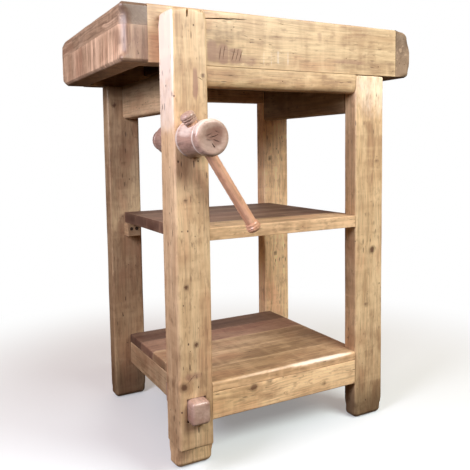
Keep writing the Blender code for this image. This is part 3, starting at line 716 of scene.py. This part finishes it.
# ---- camera ----
CAMERA_PLACE = (-0.689, -1.204, 0.632)
YAW, PITCH, ROLL = math.radians(28.31), math.radians(-4.76), math.radians(-0.82)
camera_data = bpy.data.cameras.new("camera")
camera_data.lens = 45.46
camera_data.shift_x = 0.0045
camera_data.shift_y = -0.0775
camera_data.clip_end = 60.0
camera = in_scene("camera", camera_data)
ahead = Vector((math.sin(YAW) * math.cos(PITCH), math.cos(YAW) * math.cos(PITCH), math.sin(PITCH)))
level = Vector((math.cos(YAW), -math.sin(YAW), 0.0))
above = level.cross(ahead)
right = level * math.cos(ROLL) + above * math.sin(ROLL)
upward = above * math.cos(ROLL) - level * math.sin(ROLL)
turn = Matrix((right, upward, -ahead)).transposed().to_4x4()
camera.matrix_world = Matrix.Translation(CAMERA_PLACE) @ turn
bpy.context.scene.camera = camera


# ---- places and cutters ----
LEGS = ("leg_front_left", "leg_front_right", "leg_rear_left", "leg_rear_right")
FORWARD = Vector((0.0, -1.0, 0.0))
SCREW_BORE, NUT_SEAT = 0.023, 0.0304
SPIGOT_HOLE, COUNTERBORE, COUNTERBORE_DEEP = 0.0222, 0.0316, 0.0123
GUIDE_PLAY = Vector((0.0006, 0.03, 0.0006))
PAST = 0.01  # how far cutters reach past the wood

origin = Vector(frame["joints"][1]["pos_m"])
chop_low, chop_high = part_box("vise_chop")
leg_low, leg_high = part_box("leg_front_left")
guide_low, guide_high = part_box("vise_guide")
nut_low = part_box("screw_nut")[0]


def on_bench(x, y, z):
    """A place measured from the floor below the worktop's front left corner."""
    return (CAD_BOX[0][0] + x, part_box("top_front_board")[0].y + y, z)


def blobs_on(depth, *blobs):
    """Blobs on a front face this far behind the worktop's. Each is (x, height, spread, strength)."""
    return [(on_bench(x, depth, z), spread, strength) for x, z, spread, strength in blobs]


def knots_on(depth, *knots):
    """Knots in a front face this far behind the worktop's. Each is (x, height, radius)."""
    return [(on_bench(x, depth, z), radius, Y) for x, z, radius in knots]


def checks_on(depth, *checks):
    """Checks in a front face, for scars. Each is (x, height, x, height, width)."""
    return [((x1, depth, z1), (x2, depth, z2), width, "-y") for x1, z1, x2, z2, width in checks]


def scars(node, grain, seed, faces, count, checks=()):
    """A cutter for a node's marks. The places of its checks are measured on the bench."""
    placed = [(on_bench(*start), on_bench(*end), width, face) for start, end, width, face in checks]
    return scar_mesh(*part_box(node), faces, grain, seed, count, placed)


def leg_notches(node):
    """Cutters for the legs that a board meets, so that it ends at them."""
    low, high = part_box(node)
    grown = Vector((CLEARANCE,) * 3)
    found = []
    for leg in LEGS:
        start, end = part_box(leg)
        if all(low[a] < end[a] - 0.001 and high[a] > start[a] + 0.001 for a in (X, Y, Z)):
            found.append(box_mesh(start - grown, end + grown))
    return found


def bore(start_y, end_y, radius):
    """A cutter along the vise screw's axis."""
    return rod_mesh((origin.x, start_y, origin.z), (origin.x, end_y, origin.z), radius)


def guide_hole():
    return box_mesh(guide_low - GUIDE_PLAY, guide_high + GUIDE_PLAY)


# ---- legs ----
FOOT = {pair: 0.0105 for pair in ("-x-z", "+x-z", "-y-z", "+y-z")}
FRONT_FOOT = {"-x-z": 0.013, "+x-z": 0.012, "-y-z": 0.012, "+y-z": 0.01}
LONG = {pair: 0.0042 for pair in ("-x-y", "+x-y", "-x+y", "+x+y")}
# The rear legs' foot blob is painted shade near the floor.
REAR_LEG = dict(radius=0.003, edges={**LONG, **FOOT}, wave=0.001, foot=0.35)
FRONT_LEG = dict(radius=0.003, edges={**LONG, **FRONT_FOOT}, wave=0.001, bevel=1.8)
REAR_DEPTH = 0.396

timber(
    # Its foot blob below 0 is painted light on the foot in the chop's shade.
    "leg_front_left", Z, 11, **FRONT_LEG, tone=0.96, foot=-0.28, marks=("-x +y", 14),
    cutters=[
        guide_hole(),
        bore(leg_low.y - PAST, nut_low.y + 0.001, SCREW_BORE),
        bore(nut_low.y - CLEARANCE, leg_high.y + PAST, NUT_SEAT),
    ],
)
timber(
    # Its foot blob is painted shade near the floor.
    "leg_front_right", Z, 23, **FRONT_LEG, tone=1.06, foot=0.55,
    # Painted light: the top of the leg is lightened and bleached.
    shades=blobs_on(0, (0.6, 0.8, (0.07, 0.02, 0.1), -0.32)),
    patches=blobs_on(0, (0.6, 0.8, (0.07, 0.02, 0.11), -0.46)),
    knots=knots_on(0, (0.588, 0.395, 0.006), (0.572, 0.268, 0.004), (0.602, 0.6, 0.004)),
    marks=("-y -x +x", 26, checks_on(
        0, (0.577, 0.46, 0.574, 0.405, 0.0016), (0.6, 0.34, 0.602, 0.31, 0.0015),
    )),
)
timber(
    "leg_rear_left", Z, 31, **REAR_LEG, tone=0.7,
    knots=knots_on(REAR_DEPTH, (0.108, 0.745, 0.005), (0.128, 0.6, 0.004)),
    marks=("-y -x", 18, checks_on(
        REAR_DEPTH, (0.152, 0.691, 0.155, 0.666, 0.0022), (0.158, 0.6655, 0.165, 0.664, 0.0018),
    )),
)
timber(
    "leg_rear_right", Z, 47, **REAR_LEG, tone=1.6, marks=("-y +x", 18),
    knots=knots_on(REAR_DEPTH, (0.559, 0.605, 0.005), (0.575, 0.33, 0.005)),
)

# ---- worktop ----
LEFT_END = dict(radius=0.0012, wave=0.0006, bevel=1.2)
LEFT_END_CORNERS = {"-x-y": 0.015, "-x+y": 0.011}
# Painted shade darkens and warms the end blocks' front face; the lower block's high tone is painted light on its
# left face.
LEFT_END_FRONT_SHADE = (0.03, 0.85, (0.06, 0.009, 0.1))
timber(
    "top_left_end_lower", Z, 53, **LEFT_END, tone=1.36, flush="+z +x",
    edges={**LEFT_END_CORNERS, "-x-z": 0.006, "-y-z": 0.005, "+y-z": 0.013},
    shades=blobs_on(0, (*LEFT_END_FRONT_SHADE, 0.46)), patches=blobs_on(0, (*LEFT_END_FRONT_SHADE, 0.46)),
    marks=("-x -y", 5, [
        ((0.0, 0.29, 0.852), (0.0, 0.292, 0.812), 0.0015, "-x"),
        ((0.0, 0.225, 0.85), (0.0, 0.223, 0.828), 0.0012, "-x"),
    ]),
)
timber(
    "top_left_end_upper", Y, 59, **LEFT_END, tone=0.94, flush="-z +x",
    edges={**LEFT_END_CORNERS, "-x+z": 0.007, "-y+z": 0.006, "+y+z": 0.013},
    shades=blobs_on(0, (*LEFT_END_FRONT_SHADE, 0.48)), patches=blobs_on(0, (*LEFT_END_FRONT_SHADE, 0.5)),
)
seam, right_end_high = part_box("top_right_end")
timber(
    "top_right_end", Y, 61, tone=0.86, extra=((seam.x + 0.0011, seam.x + 0.002), (), ()),
    radius=0.0015, flush="-x", bevel=1.8, wave=0.0006, marks=("+x -y", 9),
    edges={"+x-y": 0.0028, "+x+y": 0.0028, "+x+z": 0.017, "+x-z": 0.011},
    # Painted shade along the seam with the left end, and a darker top front.
    shades=[
        ((seam.x, 0.0, 0.85), (0.0012, 1.0, 1.0), 0.75),
        ((seam.x + 0.02, seam.y, right_end_high.z), (0.05, 0.012, 0.035), 0.22),
    ],
)

# The front board's worn row beside the vise: torn wood between bleached gaps, then bleached streaks.
STREAK, WIDE_STREAK, GAP = (0.0026, 0.012, 0.016), (0.0045, 0.012, 0.016), (0.0022, 0.012, 0.017)
timber(
    "top_front_board", X, 67, tone=0.9, step=0.0045, flush="-x +x +y",
    # The board is lightened round the worn row: painted light.
    edges={"-y+z": 0.0038}, shades=blobs_on(0, (0.235, 0.815, (0.075, 0.012, 0.032), -0.16)),
    patches=blobs_on(
        0, (0.183, 0.822, (0.011, 0.012, 0.02), 0.9), (0.207, 0.818, (0.012, 0.012, 0.019), 1.0),
        (0.235, 0.815, (0.016, 0.012, 0.017), 0.85), (0.262, 0.809, (0.022, 0.012, 0.012), 0.55),
        (0.325, 0.812, (0.055, 0.012, 0.017), 0.28),
        (0.195, 0.82, GAP, -0.5), (0.2205, 0.817, GAP, -0.5), (0.2515, 0.811, GAP, -0.5),
        (0.3, 0.812, STREAK, -0.45), (0.317, 0.814, STREAK, -0.5),
        (0.335, 0.817, WIDE_STREAK, -0.5), (0.358, 0.817, STREAK, -0.5),
        (0.52, 0.82, (0.05, 0.012, 0.006), 0.55), (0.44, 0.868, (0.006, 0.012, 0.014), 0.5),
    ),
    marks=("-y", 22, checks_on(
        0, (0.15, 0.8805, 0.262, 0.889, 0.0034), (0.203, 0.832, 0.198, 0.806, 0.0019),
        (0.212, 0.834, 0.206, 0.808, 0.0017), (0.233, 0.83, 0.226, 0.806, 0.0019),
        (0.241, 0.83, 0.235, 0.806, 0.0016), (0.25, 0.828, 0.243, 0.806, 0.0018),
    )),
)
timber(
    "top_rear_board", X, 71, tone=0.98, flush="-x +x -y",
    edges={"+y+z": 0.004, "+y-z": 0.003},
    marks=("+y", 16, [((0.4, 0.47, 0.862), (0.5, 0.47, 0.866), 0.0018, "+y")]),
)
# Painted shade on the planks' undersides, under the worktop.
UNDERSIDE_SHADE = (on_bench(0.35, 0.235, 0.85), (1.0, 1.0, 0.014), 0.8)
for index in range(5):
    timber(
        f"top_plank_{index + 1}", X, 80 + 7 * index, tone=1.0 + 0.06 * math.sin(2.1 * index), flush="-x +x",
        edges={"-y+z": 0.0014, "+y+z": 0.0014}, wave=0.0005, shades=[UNDERSIDE_SHADE], marks=("+z", 9),
    )
# The battens' very low tone is painted shade under the worktop.
timber("top_batten_left", Y, 121, tone=0.2, radius=0.003)
timber("top_batten_right", Y, 122, tone=0.2, radius=0.003)

# ---- rails and shelves ----
timber(
    "front_top_rail", X, 131, tone=1.06, flush="+z", edges={"-y-z": 0.0135}, bevel=1.9,
    wave=0.0008, notched=True, marks=("-y", 12),
)
timber("rear_apron", X, 137, tone=1.25, radius=0.002, notched=True)
timber(
    "left_apron", Y, 139, tone=1.0, radius=0.0025, edges={"-x-z": 0.007}, notched=True, marks=("-x", 9),
    # Painted shade near its top, under the worktop.
    shades=[(on_bench(0.129, 0.2, 0.8), (0.05, 0.3, 0.045), 0.45)],
)
timber(
    "right_apron", Y, 149, tone=0.62, radius=0.0025, edges={"-x-z": 0.006}, notched=True, marks=("+x", 9)
)

# Painted light and shade: a lightened front board, then darker boards to the rear, under the boards above.
MID_SHADE_TONES = (1.44, 0.5, 0.46, 0.41, 0.34)
LOW_SHADE_TONES = (1.2, 1.08, 0.95, 0.68, 0.36)
FRONT_BOARD, REAR_BOARD, FIRST_SHADED_LOW_BOARD = 0, 4, 3
for index in range(5):
    mid, low = f"mid_shelf_board_{index + 1}", f"lower_shelf_board_{index + 1}"
    front = index == FRONT_BOARD
    timber(
        mid, X, 151 + 11 * index, tone=MID_SHADE_TONES[index], wood="" if front else "shaded_shelf_wood",
        wave=0.0004, edges={"-y+z": 0.002} if front else {},
        flush="+y" if front else "-y" if index == REAR_BOARD else "-y +y",
        notched=True, marks=("-y", 10) if front else (),
    )
    start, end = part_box(low)
    timber(
        low, X, 211 + 11 * index, tone=LOW_SHADE_TONES[index],
        wood="shaded_shelf_wood" if index >= FIRST_SHADED_LOW_BOARD else "", wave=0.0005,
        edges={"-y+z": 0.0055, "-x+z": 0.003} if front else {"-x+z": 0.003},
        # Painted highlight along the front board's front edge, and its front face lightened: painted light.
        patches=[
            ((0.09, start.y, end.z), (0.085, 0.008, 0.007), -0.75),
            ((-0.05, start.y, end.z), (0.1, 0.006, 0.006), -0.42),
        ] if front else (),
        shades=[((0.0, start.y - 0.002, start.z), (1.0, 0.006, 0.03), -0.42)] if front else (),
        notched=True, marks=("+z -y" if front else "+z", 7),
    )
LOW_SIDE_RAIL = dict(radius=0.0015, notched=True)
timber(
    "lower_front_rail", X, 271, tone=1.5, edges={"-y-z": 0.003}, notched=True,
    knots=knots_on(0, (0.268, 0.134, 0.0065), (0.307, 0.14, 0.006), (0.45, 0.105, 0.004)),
    marks=("-y", 12),
)
timber("lower_left_rail", Y, 277, **LOW_SIDE_RAIL, tone=0.8, edges={"-x-z": 0.004}, marks=("-x", 10))
timber("lower_right_rail", Y, 281, **LOW_SIDE_RAIL, tone=0.84, edges={"+x-z": 0.004}, marks=("+x", 10))
timber("lower_rear_rail", X, 283, tone=0.8, radius=0.0015, edges={"+y-z": 0.004})

SCREW_SEAT, SCREW_PILOT, SEAT_SIDES = 0.0046, 0.0026, 24
for index, side in enumerate(("left", "right")):
    seats = []
    for number in (2 * index + 1, 2 * index + 2):
        low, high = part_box(f"cleat_screw_{number}")
        middle = (low + high) / 2
        for start_y, end_y, radius in (
            (low.y - 0.01, low.y + 0.005, SCREW_SEAT), (low.y, high.y + 0.002, SCREW_PILOT),
        ):
            start, end = (middle.x, start_y, middle.z), (middle.x, end_y, middle.z)
            seats.append(rod_mesh(start, end, radius, SEAT_SIDES))
    timber(
        f"shelf_cleat_{side}", Y, 291 + index, tone=0.92, radius=0.0018, wave=0.0004, step=0.004,
        cutters=seats,
    )

# ---- the vise ----
CHOP_DEPTH = -0.065
timber(
    "vise_chop", Z, 307, tone=0.98, radius=0.0035, wave=0.0011, step=0.0048,
    edges={**LONG, "-x-y": 0.0055, "-y-z": 0.004, "-y+z": 0.0045, "-x+z": 0.0085, "+x+z": 0.009},
    knots=knots_on(
        CHOP_DEPTH, (0.082, 0.194, 0.0068), (0.108, 0.271, 0.0042), (0.089, 0.381, 0.003),
        (0.131, 0.765, 0.0032), (0.092, 0.54, 0.0028),
    ),
    # Painted light on the left face: lightened, and bleached near the top as a painted highlight.
    shades=[(on_bench(0.071, -0.035, 0.84), (0.006, 0.06, 0.2), -0.24)],
    patches=[
        ((chop_low.x - 0.001, chop_low.y + 0.03, 0.84), (0.0045, 0.07, 0.085), -1.1),
        ((chop_low.x - 0.001, chop_low.y + 0.03, 0.72), (0.004, 0.07, 0.06), -0.6),
        *blobs_on(
            CHOP_DEPTH, (0.1165, 0.75, (0.005, 0.012, 0.028), 0.95),
            (0.1, 0.212, (0.02, 0.012, 0.008), 0.55),
        ),
    ],
    cutters=[
        guide_hole(),
        bore(chop_low.y - PAST, chop_high.y - PAST, SPIGOT_HOLE),
        bore(chop_high.y - COUNTERBORE_DEEP, chop_high.y + PAST, COUNTERBORE),
    ],
    marks=("-y -x", 40, checks_on(
        CHOP_DEPTH, (0.1035, 0.8925, 0.102, 0.866, 0.0052), (0.087, 0.199, 0.103, 0.214, 0.0022),
        (0.127, 0.4, 0.129, 0.35, 0.0013), (0.121, 0.762, 0.13, 0.757, 0.0016),
        (0.131, 0.3, 0.132, 0.265, 0.0015),
    )),
)
timber("vise_guide", Y, 311, tone=0.94, radius=0.0062, wave=0.0004, step=0.004, bevel=1.7, pits=False)

# The hub stands FORWARD of the chop's face, where its height is 0: a collar, a domed neck and a drum.
HUB_LONG, DRUM_START, DRUM_RADIUS, NECK_RADIUS = 0.087, 0.066, 0.032, 0.0238
COLLAR_RADIUS, COLLAR_RIM, DOME_SWELL, DOME_STEPS = 0.034, 0.0115, 1.2, 24
FACE_RADIUS, FACE_DISH, FACE_SUNK, FACE_ROUND = 0.0232, 1.9, 0.0011, 0.0072
GROOVE, BEAD = 0.0022, 0.0022
SOCKET_RADIUS, SOCKET_DEEP, HUB_BACK = 0.0185, 0.0204, 0.0006
HANDLE_CROSS, HANDLE_HOLE, HALF_HOLE = 0.0375, 0.0108, 0.05
slide_axis = Vector(frame["joints"][2]["axis"])
handle_centre = origin + FORWARD * HANDLE_CROSS
hub_low, hub_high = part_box("vise_hub")


def on_hub(right_by, height, up_by):
    """A place beside the screw's axis, height in front of the chop's face."""
    return (origin.x + right_by, origin.y - height, origin.z + up_by)


def on_face(right_by, up_by):
    """A place on the screw head's face, beside its middle."""
    return Vector((origin.x, hub_low.y, origin.z)) + Vector((right_by, 0.0, up_by))


hub_profile = []
for radius in np.linspace(0.0, FACE_RADIUS, 12)[1:]:
    hub_profile.append((radius, HUB_LONG - FACE_SUNK + FACE_DISH * radius ** 2))
hub_profile += arc((DRUM_RADIUS - FACE_ROUND, HUB_LONG - FACE_ROUND), (FACE_ROUND, FACE_ROUND), 80, 0, 14)
hub_profile += [
    (DRUM_RADIUS, DRUM_START + 0.0095), (DRUM_RADIUS, DRUM_START + 0.008),
    (DRUM_RADIUS - GROOVE, DRUM_START + 0.0066), (DRUM_RADIUS - GROOVE, DRUM_START + 0.005),
]
hub_profile += arc((DRUM_RADIUS - 0.0024, DRUM_START + BEAD), (BEAD, BEAD), 60, -90, 9)
hub_profile += [(NECK_RADIUS + 0.0006, DRUM_START - 0.0002), (NECK_RADIUS, DRUM_START - 0.001)]
for index in range(DOME_STEPS):
    along = 1 - index / DOME_STEPS
    swell = (1 - along ** DOME_SWELL) ** (1 / DOME_SWELL)
    height = COLLAR_RIM + (DRUM_START - 0.002 - COLLAR_RIM) * along
    hub_profile.append((NECK_RADIUS + (COLLAR_RADIUS - NECK_RADIUS) * swell, height))
hub_profile += [
    (COLLAR_RADIUS, COLLAR_RIM - 0.001), (COLLAR_RADIUS - 0.0012, COLLAR_RIM - 0.0022),
    (COLLAR_RADIUS - 0.0002, COLLAR_RIM - 0.0034), (COLLAR_RADIUS, 0.005), (COLLAR_RADIUS - 0.0004, 0.003),
    (COLLAR_RADIUS - 0.0022, HUB_BACK), (SOCKET_RADIUS, HUB_BACK), (SOCKET_RADIUS, SOCKET_DEEP),
]
face_checks = []
for start, end, width in (
    ((-0.013, 0.003), (-0.002, 0.0072), 0.0019), ((-0.0055, 0.0002), (0.009, 0.0044), 0.0026),
    ((-0.0125, -0.0026), (-0.001, -0.0052), 0.0018), ((0.001, -0.003), (0.012, -0.007), 0.0022),
    ((-0.0015, -0.01), (0.0042, -0.0172), 0.0032), ((0.0035, 0.011), (0.0125, 0.0085), 0.0018),
):
    face_checks.append((on_face(*start), on_face(*end), width, "-y"))
hub_cracks = scar_mesh(hub_low, hub_high, "", Y, 403, 0, face_checks)
half_hole = slide_axis * HALF_HOLE
hub_hole = rod_mesh(handle_centre - half_hole, handle_centre + half_hole, HANDLE_HOLE)
hub_mesh = cut(turned_mesh("vise_hub", hub_profile, origin, FORWARD), [hub_hole, hub_cracks])
THIN_RING = (0.06, 0.0022, 0.06)
hub_look = {
    **PLAIN_LOOK, "pits": False,
    "patches": [
        (on_face(0.003, 0.006), (0.015, 0.0022, 0.01), 0.95),
        (on_face(0.008, -0.003), (0.0085, 0.0022, 0.011), 0.8),
        (on_face(-0.006, -0.001), (0.007, 0.0022, 0.005), 0.6),
        # Painted highlights, pale: the drum's upper left, the collar rim, the dome's upper left and the bead.
        (on_hub(-0.006, DRUM_START + 0.0125, 0.024), (0.034, 0.0075, 0.018), -0.85),
        (on_hub(0, COLLAR_RIM - 0.004, 0), (0.06, 0.0042, 0.06), -0.7),
        (on_hub(-0.024, 0.034, 0.014), (0.013, 0.02, 0.012), -0.6),
        (on_hub(0, DRUM_START + 0.0022, 0), THIN_RING, -0.75),
    ],
    # Painted shade in the gap behind the bead, in the groove and under the collar rim; the face is darker.
    "shades": [
        (on_hub(0, DRUM_START - 0.0016, 0), THIN_RING, 0.8),
        (on_hub(0, DRUM_START + 0.0059, 0), (0.06, 0.0014, 0.06), 0.85),
        (on_hub(0, COLLAR_RIM - 0.002, 0), (0.06, 0.0008, 0.06), 0.6),
        (on_face(0, 0), (0.02, 0.004, 0.02), 0.24),
    ],
}
store_grain(hub_mesh, Y, 401, hub_low, hub_high, hub_look)

# The cracks' walls get painted shade, as pits. They lie near the middle of the face, 1.5 to 8 mm deep.
places = np.array([vert.co for vert in hub_mesh.vertices])
sunk = places[:, Y] - hub_low.y
near_middle = np.hypot(places[:, X] - origin.x, places[:, Z] - origin.z) < 0.019
crack_shade = smooth((sunk - 0.0015) / 0.0008) * near_middle * (sunk < 0.008)
hub_mesh.attributes["pit_shade"].data.foreach_set("value", crack_shade.astype(np.float32))
dress(hub_mesh, "vise_hub")

BAR_RADIUS, BAR_STEPS, BAR_UNEVEN, BAR_CHAMFER = 0.0102, 40, 0.00022, 0.001
KNOB_RADIUS, KNOB_WAIST, KNOB_SOCKET, SOCKET_PLAY = 0.0138, 0.012, 0.01, 0.0003
UPPER_FROM, UPPER_LONG, LOWER_FROM, LOWER_LONG = 0.0325, 0.0195, 0.184, 0.019
bar_low, bar_high = SOCKET_PLAY - LOWER_FROM - KNOB_SOCKET, UPPER_FROM + KNOB_SOCKET - SOCKET_PLAY
bar_profile = [(BAR_RADIUS - BAR_CHAMFER, bar_high), (BAR_RADIUS, bar_high - BAR_CHAMFER)]
for index in range(1, BAR_STEPS):
    height = bar_high - BAR_CHAMFER + (bar_low - bar_high + 2 * BAR_CHAMFER) * index / BAR_STEPS
    bar_profile.append((BAR_RADIUS + BAR_UNEVEN * math.sin(9.0 * index), height))
bar_profile += [(BAR_RADIUS, bar_low + BAR_CHAMFER), (BAR_RADIUS - BAR_CHAMFER, bar_low)]


def plain(tone):
    return {**PLAIN_LOOK, "tone": tone, "pits": False}


def knob_profile(inner, length, way):
    """A knob from its inner face outwards along way, 1 up or -1 down, with a socket and two cut rings."""
    bore_radius, bead = BAR_RADIUS + SOCKET_PLAY, length / 4
    points = [(bore_radius, KNOB_SOCKET), (bore_radius, 0.0)]
    points += [(KNOB_WAIST - 0.0004, 0.0), (KNOB_WAIST, 0.0006)]
    for ring, radius in ((1, KNOB_RADIUS - 0.0007), (2, KNOB_RADIUS)):
        points += [(radius, ring * bead - 0.002), (radius, ring * bead - 0.0011)]
        points += [(radius - 0.0014, ring * bead - 0.0003), (radius - 0.0014, ring * bead + 0.0002)]
    points += [(KNOB_RADIUS - 0.0002, 2 * bead + 0.001), (KNOB_RADIUS, 2 * bead + 0.002)]
    points += arc((KNOB_RADIUS - 0.0095, length - 0.008), (0.0095, 0.008), 0, 80, 11)
    points += [(0.002, length - 0.00005)]
    placed = [(radius, inner + way * height) for radius, height in points]
    return placed if way < 0 else list(reversed(placed))


# These pieces stand upright while their grain is stored. The handle's axis is slanted.
upright = slide_axis.to_track_quat("Z", "Y").to_matrix().inverted()
for node, profile, sides, seed, tone, wood in (
    ("vise_handle", bar_profile, 48, 409, 1.0, ""),
    ("handle_knob_upper", knob_profile(UPPER_FROM, UPPER_LONG, 1), 56, 419, 0.98, "turned_wood"),
    ("handle_knob_lower", knob_profile(-LOWER_FROM, LOWER_LONG, -1), 56, 421, 0.98, ""),
):
    mesh = turned_mesh(node, profile, handle_centre, slide_axis, sides)
    mesh.transform(upright.to_4x4() @ Matrix.Translation(-handle_centre))
    points = np.array([vert.co for vert in mesh.vertices])
    store_grain(mesh, Z, seed, points.min(axis=0), points.max(axis=0), plain(tone))
    mesh.transform(Matrix.Translation(handle_centre) @ upright.inverted().to_4x4())
    dress(mesh, node, wood)

for node, seed, tone in (("vise_screw", 431, 0.96), ("screw_retainer", 433, 0.85), ("screw_nut", 439, 0.85)):
    mesh = frame["nodes"][node].data.copy()
    store_grain(mesh, Y, seed, *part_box(node), plain(tone))
    dress(mesh, node)

for number in range(1, 5):
    cad_screw = frame["nodes"][f"cleat_screw_{number}"]
    cad_screw.data.materials.clear()
    cad_screw.data.materials.append(STEEL)


# ---- studio ----
WHITE = (1.0, 1.0, 1.0, 1.0)
FLOOR_COLOUR, WALL_COLOUR = (0.86, 0.93, 0.97, 1.0), (1.0, 0.6, 0.38, 1.0)
FLOOR_RADIUS, FLOOR_DROP = 9.0, 0.0005


def soft_light(name, location, target, size, power, colour):
    data = bpy.data.lights.new(name, "AREA")
    data.shape = "RECTANGLE"
    data.size, data.size_y = size
    data.energy = power
    data.color = colour
    item = in_scene(name, data)
    item.location = location
    item.visible_camera = False
    item.rotation_euler = (Vector(target) - Vector(location)).to_track_quat("-Z", "Y").to_euler()


soft_light("key", (0.6, -1.7, 1.75), (0.05, -0.1, 0.65), (1.2, 0.9), 51.0, (0.945, 1.0, 0.95))
soft_light("window", (-1.45, -0.62, 1.15), (-0.25, -0.15, 0.72), (0.6, 0.6), 22.0, (0.9, 0.875, 1.0))
soft_light("side", (-0.95, -0.42, 1.12), (-0.28, -0.18, 0.8), (0.35, 0.35), 1.5, (0.92, 0.82, 1.0))
soft_light("rear", (0.9, 1.9, 1.2), (0.0, 0.1, 0.5), (1.2, 1.2), 4.0, (1.0, 0.95, 0.9))

# The floor takes the object's shadow and fades into the white backdrop, from 0.45 to 1.25 m out.
bm = bmesh.new()
bmesh.ops.create_circle(bm, cap_ends=True, segments=96, radius=FLOOR_RADIUS)
floor = in_scene("floor", mesh_from(bm, "floor"))
floor.location.z = -FLOOR_DROP
floor.visible_diffuse = False
floor.visible_glossy = False
pale_floor = bpy.data.materials.new("pale_floor")
g = Graph(pale_floor)
away = g.add("VectorMath", {"operation": "LENGTH"})
g.put(away.inputs[0], g.add("TexCoord").outputs["Object"])
painted = g.add("BsdfDiffuse", Color=FLOOR_COLOUR)
glow = g.add("Emission", Color=WHITE, Strength=1.0)
fade = g.step(away.outputs["Value"], 0.45, 1.25, first=0.25)
g.add("OutputMaterial", Surface=g.blend(fade, painted.outputs[0], glow.outputs[0]))
floor.data.materials.append(pale_floor)

# The room is a warm glow that grows with height; the camera sees white instead.
world = bpy.data.worlds.new("studio")
bpy.context.scene.world = world
g = Graph(world)
height = g.add("SeparateXYZ", Vector=g.add("TexCoord").outputs["Generated"]).outputs["Z"]
rise = g.add("MapRange", Value=height, From_Min=-0.35, From_Max=0.7, To_Min=0.03, To_Max=0.42)
room = g.add("Background", Color=WALL_COLOUR, Strength=rise.outputs["Result"])
backdrop = g.add("Background", Color=WHITE)
seen = g.add("LightPath").outputs["Is Camera Ray"]
g.add("OutputWorld", Surface=g.blend(seen, room.outputs[0], backdrop.outputs[0]))
bpy.context.scene.view_settings.view_transform = "Standard"
